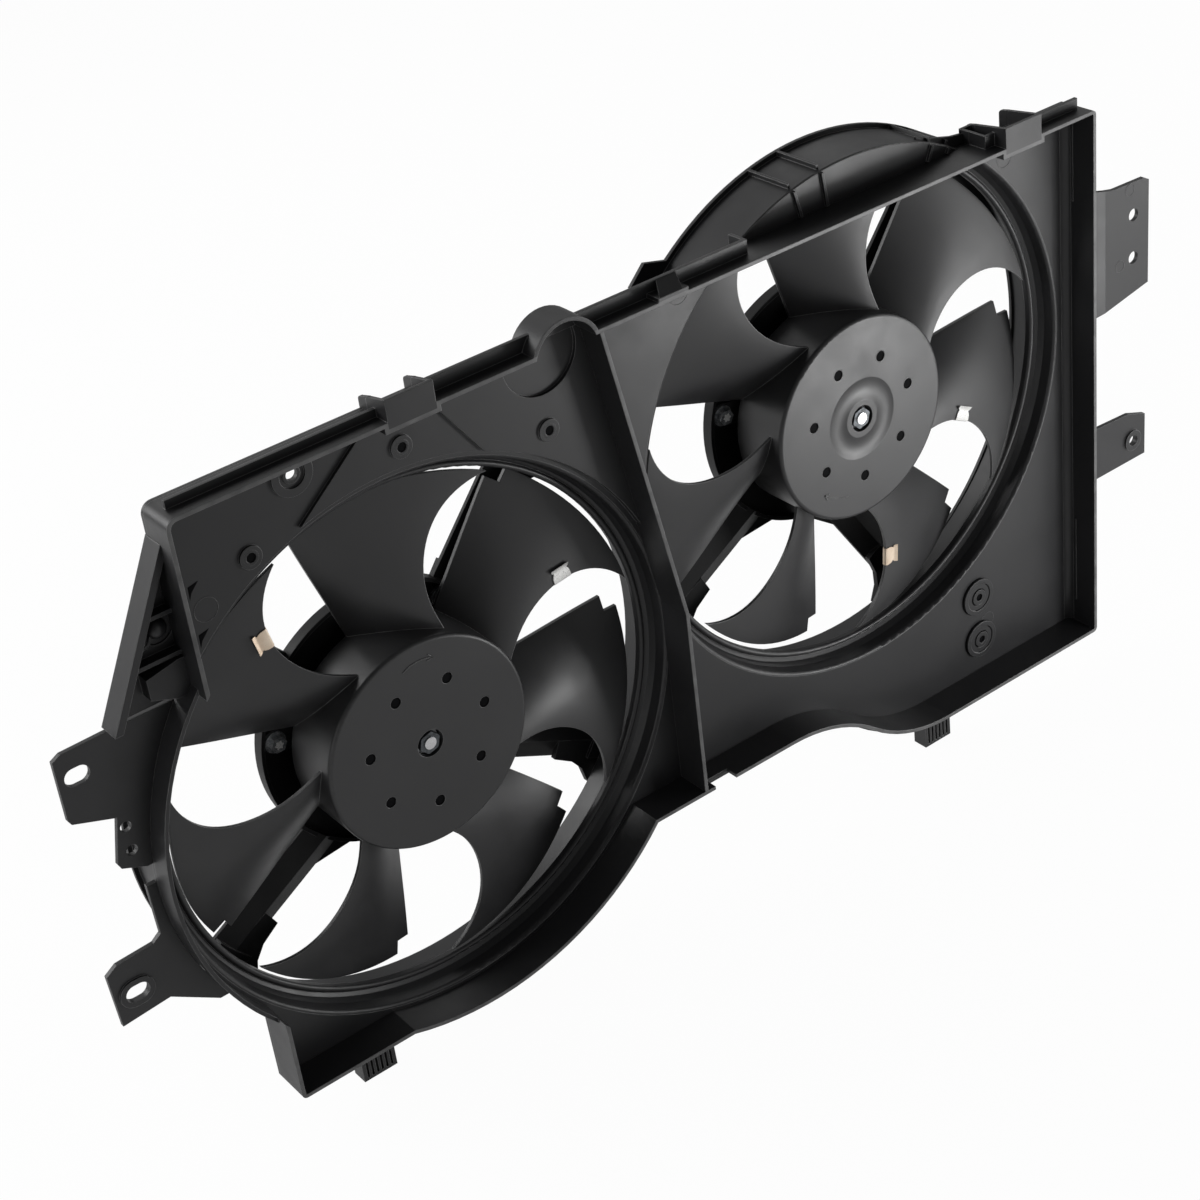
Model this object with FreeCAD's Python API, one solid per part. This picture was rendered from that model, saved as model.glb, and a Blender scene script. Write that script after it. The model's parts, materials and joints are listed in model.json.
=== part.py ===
import FreeCAD, Part
import math
import os

# Twin radiator fan shroud for a car: a moulded tray that seals against the back of the radiator,
# two fan rings with motor spiders, and two seven-blade fans on their electric motors.
# Millimetres. +X runs along the tray to the right, +Y is the air's way from the radiator to the
# engine, +Z is up. Sizes are written from the tray's lower left front corner (the rim datum), and
# the finished pieces are moved so that the round locating hole of the lower right bracket is the
# origin, on the face that seats on the radiator's bracket.

V = FreeCAD.Vector
ALONG_Y = V(0, 1, 0)

# Fans, which drive the tray's size
BLADES = 7
TIP_R = 165.7
TIP_GAP = 2.3
BLADE_ROOT_R = 68.5
BLADE_THICK = 2.4
BLADE_CAMBER = 0.72
HUB_R = 70.0
HUB_FACE_Y = 25.5
HUB_DEPTH = 41.5
HUB_WALL = 3.0
HUB_EDGE_R = 2.5
HUB_HOLES_R = 41.9
HUB_HOLE_R = 3.6
HUB_HOLE_DEPTH = 2.0
HUB_HOLES_PHASE = 12.2
HUB_RECESS_R = 9.0
HUB_SEAT_DEPTH = 7.0
HUB_BOSS_R = 13.0
HUB_BOSS_DEPTH = 10.5
DISH_IN_R = 13.0
DISH_OUT_R = 28.0
DISH_DEPTH = 1.3

# Blade and place along its leading edge (hub 0, tip 1) of each balance clip
BALANCE_CLIPS = {
    "left": {"tall": (3, 0.68), "short": (1, 0.62)},
    "right": {"tall": (0, 0.44), "short": (6, 0.59)},
}
CLIP_LENGTH = 13.0
CLIP_REACH = 9.0
CLIP_SHEET = 1.0
CLIP_GRIP = 4.6

# Fan rings, each size following from the blade tips
RING_WALL = 2.5
BEAD_R = TIP_R + TIP_GAP
BEAD_BACK_R = BEAD_R + 4.5
BELL_WAIST_R = BEAD_BACK_R
BELL_R = BELL_WAIST_R + 4.9
RING_LIP_R = BELL_R + RING_WALL
RING_FLANGE_R = BEAD_R + 15.0
RING_SPACE = 0.1

# Tray
WALL = 2.5
TRAY_DEPTH = 25.0
FLOOR = 2.5
BULGE_WALL_R = RING_LIP_R + 4.6
BULGE_REACH = 43.3
BULGE_DROP = 10.2
BULGE_SETBACK = 8.6
CORNER_R = 7.0
SMALL_CORNER_R = 3.5

# Places of the fans: the left one low, with its bulge past the rim, the right one raised
LEFT_X = BULGE_WALL_R - BULGE_REACH
LEFT_Z = BULGE_WALL_R - BULGE_DROP
FAN_RISE = 71.5
RIGHT_X = LEFT_X + math.sqrt((2 * RING_LIP_R + RING_SPACE) ** 2 - FAN_RISE ** 2)
RIGHT_Z = LEFT_Z + FAN_RISE
RIGHT_MARGIN = 11.8
TOP_MARGIN = 45.8
RIM_WIDTH = RIGHT_X + RING_LIP_R + RIGHT_MARGIN
RIM_HEIGHT = LEFT_Z + RING_LIP_R + TOP_MARGIN

# Divider between the two fans: upright beside the left ring, leaning to the left above it
DIVIDER_X = LEFT_X + RING_LIP_R
DIVIDER_LEAN = 38.5
DIVIDER_BEND = 15.7
DIVIDER_TOP_X = DIVIDER_X - DIVIDER_LEAN
DIVIDER_BEND_Z = LEFT_Z + DIVIDER_BEND

# Step of the bottom wall under the right fan
STEP_HEIGHT = 51.5
STEP_RUN = 140.0
STEP_START_X = DIVIDER_X + 74.0
STEP_END_X = STEP_START_X + STEP_RUN

# Raised levels of the floor beside the divider, and the vault for a hose above it
LEVEL = 2.5
LEVEL_CLEAR_R = RING_LIP_R + 3.6
VAULT_X = DIVIDER_TOP_X - 25.6
VAULT_Z = RIM_HEIGHT - 9.0
VAULT_R = 24.5
VAULT_REAR_Y = 22.5
VAULT_RECESS_R = 26.0

# Seal lips outside the tray's wall
LIP_Y = 11.0
LIP_THICK = 2.5
LEFT_LIP_HEIGHT = 5.0
RAISED_LIP_START_X = LEFT_X + 29.8
RAISED_LIP_END_X = RIGHT_X - 93.9
RAISED_LIP_HEIGHT = 9.0
BRIDGE_X = DIVIDER_TOP_X + 41.0
BRIDGE_WIDTH = 22.0
BRIDGE_RISE = 2.5
RIGHT_LIP_HEIGHT = 7.0
RIGHT_LIP_END_X = RIM_WIDTH - 5.6
BOTTOM_LIP_HEIGHT = 3.0

# Clips that stand on the top wall, and the rim's notches in front of them
LEFT_CLIP_X = LEFT_X - 4.2
RIGHT_CLIP_X = RIM_WIDTH - 81.6
CLIP_WIDTH = 31.5
CLIP_TOP = RIM_HEIGHT + 13.5
CLIP_WALL = 2.0
CLIP_SLOPE = 4.0
NOTCH_DEPTH = 4.0
LEFT_CLIP_BACK = 20.0
RIGHT_CLIP_BACK = 30.0
BOTTOM_NOTCH_X = DIVIDER_X + 6.0
BOTTOM_NOTCH_WIDTH = 17.5
BOTTOM_NOTCH_DEPTH = 9.5

# Bosses and holes of the floor
BOSS_R = 7.0
BOSS_HOLE_R = 3.0
BOSS_HEIGHT = 1.5
CABLE_BOSS_X = 87.1
CABLE_BOSS_Z = RIM_HEIGHT - 19.0
CABLE_BOSS_R = 13.0
CABLE_HOLE_R = 3.6
PAD_X = RIM_WIDTH - 95.0
PAD_UPPER_Z = 63.8
PAD_LOWER_Z = 27.9
PAD_R = 11.5
CATCH_R = 8.0
CATCH_DEPTH = 1.7
CATCH_DROPS = (58.0, 90.0)

# Pocket outside the left wall
POCKET_TOP_Z = RIM_HEIGHT - 18.0
POCKET_HEIGHT = 97.0
POCKET_OUT_Z = POCKET_TOP_Z - POCKET_HEIGHT
POCKET_OUT_X = -50.0
POCKET_FLANGE = 4.5
POCKET_FRONT_Y = 12.0

# Gussets over the right ring, above the tray
GUSSET_ANGLES = (104.5, 97.0, 67.0, 62.0)
GUSSET_THICK = 1.8
GUSSET_R = RING_LIP_R - 1.4
EAR_R = RING_FLANGE_R + 14.0
EAR_ANGLE = 134.5

# Depths of the rings
BEAD_FRONT_Y = 38.5
BEAD_DEPTH = 4.5
RING_FLANGE_Y = 63.0
RING_REAR_Y = 65.5

# Motor spiders
# Each strut: direction in degrees and how far its middle line passes from the fan's axis
LEFT_STRUTS = ((52.5, -9.0), (131.5, 9.0), (208.0, 28.0), (335.7, -26.0))
RIGHT_STRUTS = ((53.7, -12.0), (131.5, 9.0), (207.0, 28.0), (302.3, -32.0))
STRUT_HALF = 13.0
STRUT_RIDGE = 6.0
STRUT_ROOT_U = 70.0
STRUT_FLARE_U = 98.0
STRUT_FLARE = 11.5
STRUT_THICK = 2.5
PLATE_R = 87.0
PLATE_Y = 78.0
PLATE_THICK = 3.0
PLATE_RIM = 2.5
PLATE_RIM_DEPTH = 8.0

# Motors
CAN_R = 45.0
CAN_FRONT_Y = 44.0
CAN_REAR_Y = 104.0
CAN_WALL = 2.0
EAR_THICK = 2.5
SCREW_CIRCLE_R = PLATE_R - 10.5
SCREW_PHASE = 48.0
SCREWS = 3
SCREW_R = 3.0
SCREW_HEAD_R = 5.5
SCREW_HEAD = 4.0
SCREW_FLANGE_R = 7.0
SCREW_FLANGE = 1.5
END_BELL_THICK = 6.0
END_BELL_NOSE_R = 15.0
END_BELL_NOSE = 8.0
SOCKET_REACH = 13.0
SHAFT_R = 4.0
SHAFT_FRONT_Y = 25.2
BEARING_R = 11.0
BEARING_WIDTH = 7.0
BEARING_PLAY = 0.03
AIR_GAP = 0.8
MAGNET_THICK = 6.0
ARMATURE_FRONT_Y = 57.0
ARMATURE_REAR_Y = 86.0
COMMUTATOR_R = 13.0
COMMUTATOR_LENGTH = 11.0
NUT_ACROSS = 13.0
NUT_HEIGHT = 5.0
WASHER_R = 8.5
WASHER_THICK = 1.5

# Brackets and feet
BRACKET_THICK = 3.0
LOCATING_HOLE_X = RIM_WIDTH + 66.1
LOCATING_HOLE_Z = 120.9
LOCATING_HOLE_R = 4.2
LOCATING_BOSS_R = 8.0
LOCATING_BOSS = 1.5
UPPER_HOLES_X = RIM_WIDTH + 64.4
UPPER_HOLES_Z = 281.7
UPPER_HOLES_PITCH = 31.8
UPPER_HOLE_R = 4.6
SLOT_X = -BULGE_REACH - 27.5
UPPER_SLOT_Z = POCKET_OUT_Z - 19.3
LOWER_SLOT_Z = LEFT_Z - 60.3
SLOT_LENGTH = 15.0
SLOT_WIDTH = 11.0
CLIP_HOLES_X = -BULGE_REACH - 9.2
CLIP_HOLES_Z = UPPER_SLOT_Z - 52.4
CLIP_HOLES_PITCH = 16.0
CLIP_HOLE_R = 3.4
FOOT_WIDTH = 24.0
FOOT_HEIGHT = 27.0
FOOT_GROOVES = 6
LEFT_FOOT_X = 59.5
RIGHT_FOOT_X = STEP_END_X + 1.4

ORIGIN = V(LOCATING_HOLE_X, TRAY_DEPTH, LOCATING_HOLE_Z)


def box(x0, x1, y0, y1, z0, z1):
    return Part.makeBox(x1 - x0, y1 - y0, z1 - z0, V(x0, y0, z0))


def rod(x, z, radius, y0, y1):
    return Part.makeCylinder(radius, y1 - y0, V(x, y0, z), ALONG_Y)


def tube(x, z, outer, inner, y0, y1):
    return rod(x, z, outer, y0, y1).cut(rod(x, z, inner, y0 - 1, y1 + 1))


def polar(x, z, radius, degrees, y=0.0):
    turn = math.radians(degrees)
    return V(x + radius * math.cos(turn), y, z + radius * math.sin(turn))


def prism(corners, y0, y1):
    """A plate between two depths, from its (x, z) corners."""
    loop = [V(x, y0, z) for x, z in corners]
    return Part.Face(Part.makePolygon(loop + loop[:1])).extrude(V(0, y1 - y0, 0))


def revolved(x, z, profile):
    """A turned piece about a fan's axis, from its (radius, depth) corners."""
    loop = [V(x + r, y, z) for r, y in profile]
    face = Part.Face(Part.makePolygon(loop + loop[:1]))
    return face.revolve(V(x, 0, z), ALONG_Y, 360)


def turned(shape, x, z, degrees):
    copy = shape.copy()
    copy.rotate(V(x, 0, z), ALONG_Y, -degrees)
    return copy


def slot(x, z, length, width, y0, y1):
    half = (length - width) / 2
    middle = box(x - half, x + half, y0, y1, z - width / 2, z + width / 2)
    ends = [rod(x + side * half, z, width / 2, y0, y1) for side in (-1, 1)]
    return middle.fuse(ends)


def rounded(block, x, z, radius):
    """Round the upright corner of a block at one place of its outline."""
    corner = [e for e in block.Edges
              if e.BoundBox.XLength + e.BoundBox.ZLength < 0.01
              and abs(e.BoundBox.XMin - x) + abs(e.BoundBox.ZMin - z) < 0.01]
    return block.makeFillet(radius, corner)


def divider_x(z):
    """Right face of the divider at a height: leaning at the top, upright below."""
    lean = (DIVIDER_X - DIVIDER_TOP_X) / (RIM_HEIGHT - DIVIDER_BEND_Z)
    return DIVIDER_X - lean * max(0.0, z - DIVIDER_BEND_Z)


def tray_block(inset, y0, y1):
    """The tray's outline as a block, moved inwards by inset on every side."""
    rise = STEP_HEIGHT
    run = STEP_END_X - STEP_START_X
    curve_r = (run * run + rise * rise) / (4 * rise)
    low = V(STEP_START_X, y0, rise - curve_r)
    high = V(STEP_END_X, y0, curve_r)
    along = (high - low).normalize()
    flow = low + along * (curve_r + inset)
    lean = math.atan2(along.z, along.x)
    first_mid = (lean + math.pi / 2) / 2
    first = low + V(math.cos(first_mid), 0, math.sin(first_mid)) * (curve_r + inset)
    second_mid = (lean - math.pi * 3 / 2) / 2
    second = high + V(math.cos(second_mid), 0, math.sin(second_mid)) * (curve_r - inset)
    left, right = inset, RIM_WIDTH - inset
    bottom, top = inset, RIM_HEIGHT - inset
    shelf = rise + inset
    start = V(STEP_START_X, y0, shelf)
    end = V(STEP_END_X, y0, bottom)
    edges = [
        Part.Arc(start, first, flow).toShape(),
        Part.Arc(flow, second, end).toShape(),
    ]
    path = [end, V(right, y0, bottom), V(right, y0, top), V(left, y0, top), V(left, y0, bottom)]
    path += [V(LEFT_X, y0, bottom), V(LEFT_X, y0, shelf), start]
    edges += [Part.makeLine(a, b) for a, b in zip(path, path[1:])]
    wire = Part.Wire(Part.sortEdges(edges)[0])
    block = Part.Face(wire).extrude(V(0, y1 - y0, 0))
    block = rounded(block, left, top, CORNER_R - inset)
    for x, z in ((right, top), (right, bottom), (left, bottom)):
        block = rounded(block, x, z, SMALL_CORNER_R - inset)
    return block


def tray_outline(inset, y0, y1, bulge_y0):
    """Outline block with the round bulge of the left fan."""
    bulge = rod(LEFT_X, LEFT_Z, BULGE_WALL_R - inset, bulge_y0, y1)
    return tray_block(inset, y0, y1).fuse(bulge)


def make_divider():
    """Wall between the fans, from the stepped bottom wall to the top wall."""
    foot = STEP_HEIGHT + WALL
    top = RIM_HEIGHT - WALL
    right = [(divider_x(z), z) for z in (foot, DIVIDER_BEND_Z, top)]
    left = [(x - WALL, z) for x, z in reversed(right)]
    return prism(right + left, 0, TRAY_DEPTH)


def make_walls():
    """Outer wall of the tray with its lips, clips, notches and the vault's cover."""
    full = tray_outline(0, 0, TRAY_DEPTH, 0)
    walls = full.cut(tray_outline(WALL, -1, TRAY_DEPTH + 1, -1))
    # Left of the rim the bulge's front edge steps back from the radiator.
    step = rod(LEFT_X, LEFT_Z, BULGE_WALL_R + 1, -1, BULGE_SETBACK)
    walls = walls.cut(step.common(box(-100, 0, -2, 50, 0, RIM_HEIGHT)))
    walls = walls.fuse(top_lips() + [bottom_lip()])
    return with_vault(with_notches(walls)).removeSplitter()


def make_floor():
    """Back of the tray: raised levels, fan mouths and bosses."""
    rear = TRAY_DEPTH + FLOOR
    floor = tray_outline(0, TRAY_DEPTH, rear, TRAY_DEPTH).fuse(floor_levels())
    mouths = [rod(x, z, RING_LIP_R, TRAY_DEPTH - 10, rear + 1)
              for x, z in ((LEFT_X, LEFT_Z), (RIGHT_X, RIGHT_Z))]
    floor = floor.fuse(bosses()).cut(mouths)
    return floor.cut(floor_holes() + [vault_recess()]).removeSplitter()


def make_hood():
    """Plate that closes the right ring above the tray's top wall, with gussets on its front."""
    hood = rod(RIGHT_X, RIGHT_Z, RING_LIP_R, TRAY_DEPTH, TRAY_DEPTH + FLOOR)
    hood = hood.common(box(0, RIM_WIDTH, 0, 100, RIM_HEIGHT - WALL, RIM_HEIGHT + 100))
    return hood.cut(make_ring(RIGHT_X, RIGHT_Z)).fuse(gussets()).removeSplitter()


def floor_levels():
    """Two raised levels of the left floor; the higher one lies beside the divider."""
    back = TRAY_DEPTH
    clear = rod(LEFT_X, LEFT_Z, LEVEL_CLEAR_R, 0, 50)
    top = RIM_HEIGHT - WALL
    foot = STEP_HEIGHT + WALL
    right = divider_x(top) - WALL
    low = prism([(LEFT_X + 3.1, top), (LEFT_X - 62.6, top - 53.9), (LEFT_X - 41.2, top - 67.5),
                 (DIVIDER_X - 1.0, DIVIDER_BEND_Z + 10.0), (right, top)], back - LEVEL, back)
    high = prism([(LEFT_X + 29.5, top), (LEFT_X + 63.8, top - 50.0), (LEFT_X + 83.8, top - 77.5),
                  (DIVIDER_X + 9.0, DIVIDER_BEND_Z - 30.0), (right, top)], back - 2 * LEVEL, back)
    beside = prism([(WALL, top), (right, top), (DIVIDER_X - WALL, DIVIDER_BEND_Z),
                    (DIVIDER_X - WALL, foot), (WALL, foot)], 0, 50)
    return [level.cut(clear).common(beside) for level in (low, high)]


def top_lips():
    """Seal lips along the outside of the top wall."""
    y1 = LIP_Y + LIP_THICK
    foot = RIM_HEIGHT - WALL
    left = box(CORNER_R, LEFT_CLIP_X, LIP_Y, y1, foot, RIM_HEIGHT + LEFT_LIP_HEIGHT)
    raised_top = RIM_HEIGHT + RAISED_LIP_HEIGHT
    raised = box(RAISED_LIP_START_X, RAISED_LIP_END_X, LIP_Y, y1, foot, raised_top)
    end = box(RAISED_LIP_END_X - WALL, RAISED_LIP_END_X, LIP_Y, TRAY_DEPTH, foot, raised_top)
    right = box(RIGHT_CLIP_X + CLIP_WIDTH, RIGHT_LIP_END_X, LIP_Y, y1, foot,
                RIM_HEIGHT + RIGHT_LIP_HEIGHT)
    bridge = box(BRIDGE_X, BRIDGE_X + BRIDGE_WIDTH, 0, LIP_Y, foot, RIM_HEIGHT + BRIDGE_RISE)
    slit = box(BRIDGE_X + BRIDGE_WIDTH - 5.0, BRIDGE_X + BRIDGE_WIDTH - 3.0, 3, LIP_Y, RIM_HEIGHT,
               RIM_HEIGHT + 20)
    return [left, raised, end, right, bridge.cut(slit)]


def bottom_lip():
    """Seal lip that follows the bottom wall, bulge and curve included."""
    y1 = LIP_Y + LIP_THICK
    lip = tray_outline(-BOTTOM_LIP_HEIGHT, LIP_Y, y1, LIP_Y)
    lip = lip.cut(tray_outline(WALL / 2, LIP_Y - 1, y1 + 1, LIP_Y - 1))
    return lip.common(box(4, RIM_WIDTH - 4, 0, 50, -10, 100))


def bosses():
    """Screw bosses on the three levels, the cable boss, and two round pads low on the right."""
    top = RIM_HEIGHT
    places = [(LEFT_X - 87.7, top - 55.6, 0, BOSS_R), (LEFT_X + 13.3, top - 29.8, 1, BOSS_R),
              (LEFT_X + 109.0, top - 58.5, 2, BOSS_R),
              (CABLE_BOSS_X, CABLE_BOSS_Z, 0, CABLE_BOSS_R),
              (PAD_X, PAD_UPPER_Z, 0, PAD_R), (PAD_X + 1.3, PAD_LOWER_Z, 0, PAD_R)]
    made = []
    for x, z, level, radius in places:
        face = TRAY_DEPTH - level * LEVEL
        made.append(tube(x, z, radius, 0.62 * radius, face - BOSS_HEIGHT, face))
        made.append(tube(x, z, 0.42 * radius, BOSS_HOLE_R / 2, face - BOSS_HEIGHT / 2, face))
    return made


def floor_holes():
    """Open cable hole, and two half-round recesses beside the left wall."""
    cable = rod(CABLE_BOSS_X, CABLE_BOSS_Z, CABLE_HOLE_R, 0, TRAY_DEPTH + FLOOR + 1)
    catches = [rod(WALL + 1.0, RIM_HEIGHT - drop, CATCH_R, TRAY_DEPTH - 1, TRAY_DEPTH + CATCH_DEPTH)
               .common(box(WALL, 50, 0, 60, 0, RIM_HEIGHT)) for drop in CATCH_DROPS]
    return [cable] + catches


def gussets():
    """Ribs from the hood over the bell to the right ring's flange."""
    made = []
    for degrees in GUSSET_ANGLES:
        low = (RIM_HEIGHT - RIGHT_Z) / math.sin(math.radians(degrees)) + 0.5
        half = GUSSET_THICK / 2
        front = box(RIGHT_X + low, RIGHT_X + GUSSET_R, TRAY_DEPTH - 2, TRAY_DEPTH,
                    RIGHT_Z - half, RIGHT_Z + half)
        made.append(turned(front, RIGHT_X, RIGHT_Z, degrees))
    return made


def make_pocket():
    """Three-cornered pocket outside the left wall, open to the front."""
    rear = TRAY_DEPTH + BRACKET_THICK
    out_x, out_z = POCKET_OUT_X, POCKET_OUT_Z
    slant = math.hypot(out_x, POCKET_HEIGHT)
    across = POCKET_FLANGE * slant / POCKET_HEIGHT
    inside = POCKET_TOP_Z + POCKET_FLANGE * slant / out_x
    shape = prism([(0.0, POCKET_TOP_Z), (out_x, out_z), (0.0, out_z)], TRAY_DEPTH, rear)
    flange = prism([(0.0, POCKET_TOP_Z), (out_x, out_z), (out_x + across, out_z), (0.0, inside)],
                   POCKET_FRONT_Y, rear)
    ribs = []
    for drop in (44.0, 70.0):
        reach = out_x * drop / POCKET_HEIGHT
        z = POCKET_TOP_Z - drop
        ribs.append(box(reach + across - 1.0, 0.0, TRAY_DEPTH - 7, TRAY_DEPTH, z, z + WALL))
    boss_x, boss_z = out_x * 0.38, POCKET_TOP_Z - 55.0
    dome = Part.makeSphere(4.5, V(boss_x, TRAY_DEPTH - 1.5, boss_z))
    dome = dome.common(box(out_x, 0, 0, TRAY_DEPTH, out_z, POCKET_TOP_Z))
    base = tube(boss_x, boss_z, 7.0, 5.2, TRAY_DEPTH - 2, TRAY_DEPTH)
    block = prism([(-4.0, out_z + 26.0), (-24.0, out_z + 22.0), (-24.0, out_z + 9.0),
                   (-8.0, out_z + 3.0), (0.0, out_z + 3.0), (0.0, out_z + 26.0)],
                  TRAY_DEPTH - 9, TRAY_DEPTH)
    shape = shape.fuse([flange, dome, base, block] + ribs)
    return shape.cut(rod(LEFT_X, LEFT_Z, BULGE_WALL_R, 0, 60)).removeSplitter()


def cheek(x, thick, back, foot, front_top, back_top):
    """Upright plate across the wall, its top sloping from front to back."""
    loop = [V(x, 0, foot), V(x, back, foot), V(x, back, back_top - 1.5), V(x, back - 1.5, back_top),
            V(x, 0, front_top)]
    return Part.Face(Part.makePolygon(loop + loop[:1])).extrude(V(thick, 0, 0))


def with_notches(tray):
    """Clips on the top wall, the rim notches in front of them and the notch in the bottom rim."""
    top = RIM_HEIGHT
    for x, back in ((LEFT_CLIP_X, LEFT_CLIP_BACK), (RIGHT_CLIP_X, RIGHT_CLIP_BACK)):
        end = x + CLIP_WIDTH
        ledge = box(x, end, 0, LIP_Y, top - NOTCH_DEPTH - WALL, top - NOTCH_DEPTH)
        tray = tray.cut(box(x, end, -1, LIP_Y, top - NOTCH_DEPTH, top + 20))
        front = box(x, end, 0, CLIP_WALL, top - NOTCH_DEPTH - WALL, CLIP_TOP)
        cheeks = [cheek(a, CLIP_WALL, back, top - WALL, CLIP_TOP, CLIP_TOP - CLIP_SLOPE)
                  for a in (x, end - CLIP_WALL)]
        sides = [box(a, a + WALL, 0, LIP_Y, top - NOTCH_DEPTH - WALL, top) for a in (x - WALL, end)]
        step = box(x, end, LIP_Y - WALL, LIP_Y, top - NOTCH_DEPTH - WALL, top)
        tray = tray.fuse([ledge, front, step] + cheeks + sides)
    small_x = RIGHT_CLIP_X - 8.3
    small = box(small_x, RIGHT_CLIP_X, 10, 12, top - WALL, top + 8.5)
    small_side = box(small_x, small_x + CLIP_WALL, 10, 26, top - WALL, top + 8.5)
    tray = tray.fuse([small, small_side])
    notch_end = BOTTOM_NOTCH_X + BOTTOM_NOTCH_WIDTH
    return tray.cut(box(BOTTOM_NOTCH_X, notch_end, -1, BOTTOM_NOTCH_DEPTH, STEP_HEIGHT - 10,
                        STEP_HEIGHT + WALL + 5))


def left_of_divider():
    return box(0, divider_x(RIM_HEIGHT) - WALL, -2, 50, RIM_HEIGHT - 100, RIM_HEIGHT + 50)


def vault_recess():
    """Shallow round recess of the raised floor under the vault."""
    face = TRAY_DEPTH - 2 * LEVEL
    round_room = rod(VAULT_X - 6.0, VAULT_Z - 1.0, VAULT_RECESS_R, face - 1, face + LEVEL)
    return round_room.common(left_of_divider())


def with_vault(walls):
    """Vault over the top wall beside the divider, where a hose passes."""
    above = box(0, RIM_WIDTH, -2, 50, RIM_HEIGHT - WALL, RIM_HEIGHT + 50)
    cover = rod(VAULT_X, VAULT_Z, VAULT_R, 0, VAULT_REAR_Y).common(above)
    room = rod(VAULT_X, VAULT_Z, VAULT_R - WALL, -1, VAULT_REAR_Y - WALL).common(left_of_divider())
    return walls.fuse(cover).cut(room)


def own_side(x, z, other_x, other_z):
    """Block that covers all room nearer to one fan's axis than to the other's."""
    apart = math.hypot(other_x - x, other_z - z)
    far = 3 * RING_FLANGE_R
    block = box(x - far, x + (apart - RING_SPACE / 2) / 2, 0, 200, z - far, z + far)
    return turned(block, x, z, math.degrees(math.atan2(other_z - z, other_x - x)))


def make_ring(x, z):
    """Rounded mouth, bead in front of the blade tips, and barrel with a rear flange."""
    front = TRAY_DEPTH
    bead = BEAD_FRONT_Y
    round_r = RING_LIP_R - BELL_R

    def at(radius, y):
        return V(x + radius, y, z)

    lip = Part.Arc(at(RING_LIP_R, front), at(BELL_R + 0.29 * round_r, front + 0.29 * round_r),
                   at(BELL_R, front + round_r)).toShape()
    crest = Part.Arc(at(BEAD_BACK_R - 0.3, bead + 1.2), at(BEAD_R + 1.9, bead - 0.7),
                     at(BEAD_R, bead + 1.8)).toShape()
    mouth = [at(BELL_R, front + round_r), at(BELL_R - 0.8, bead - 5.0),
             at(BELL_WAIST_R + 2.2, bead - 0.6), at(BEAD_BACK_R - 0.3, bead + 1.2)]
    back = [at(BEAD_R, bead + 1.8), at(BEAD_R, bead + BEAD_DEPTH), at(BELL_R, bead + BEAD_DEPTH),
            at(BELL_R, RING_REAR_Y), at(RING_FLANGE_R, RING_REAR_Y),
            at(RING_FLANGE_R, RING_FLANGE_Y), at(RING_LIP_R, RING_FLANGE_Y), at(RING_LIP_R, front)]
    edges = [lip, crest]
    for path in (mouth, back):
        edges += [Part.makeLine(a, b) for a, b in zip(path, path[1:])]
    wire = Part.Wire(Part.sortEdges(edges)[0])
    return Part.Face(wire).revolve(V(x, 0, z), ALONG_Y, 360)


def make_right_ring(x, z):
    """The right ring, whose top shows above the tray: gussets and a locating ear."""
    ring = make_ring(x, z)
    half = GUSSET_THICK / 2
    fin = box(x + RING_LIP_R - 1, x + RING_FLANGE_R, TRAY_DEPTH + FLOOR, RING_FLANGE_Y + 1,
              z - half, z + half)
    fins = [turned(fin, x, z, a) for a in GUSSET_ANGLES]
    root = RING_LIP_R - 1.5
    corners = [(root, -5.5), (RING_FLANGE_R, -5.5), (EAR_R, -2.5), (EAR_R, 2.5), (root, 3.0)]
    spots = [polar(x, z, r, EAR_ANGLE + a) for r, a in corners]
    ear = prism([(p.x, p.z) for p in spots], RING_FLANGE_Y, RING_REAR_Y)
    return ring.fuse(fins + [ear])


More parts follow.
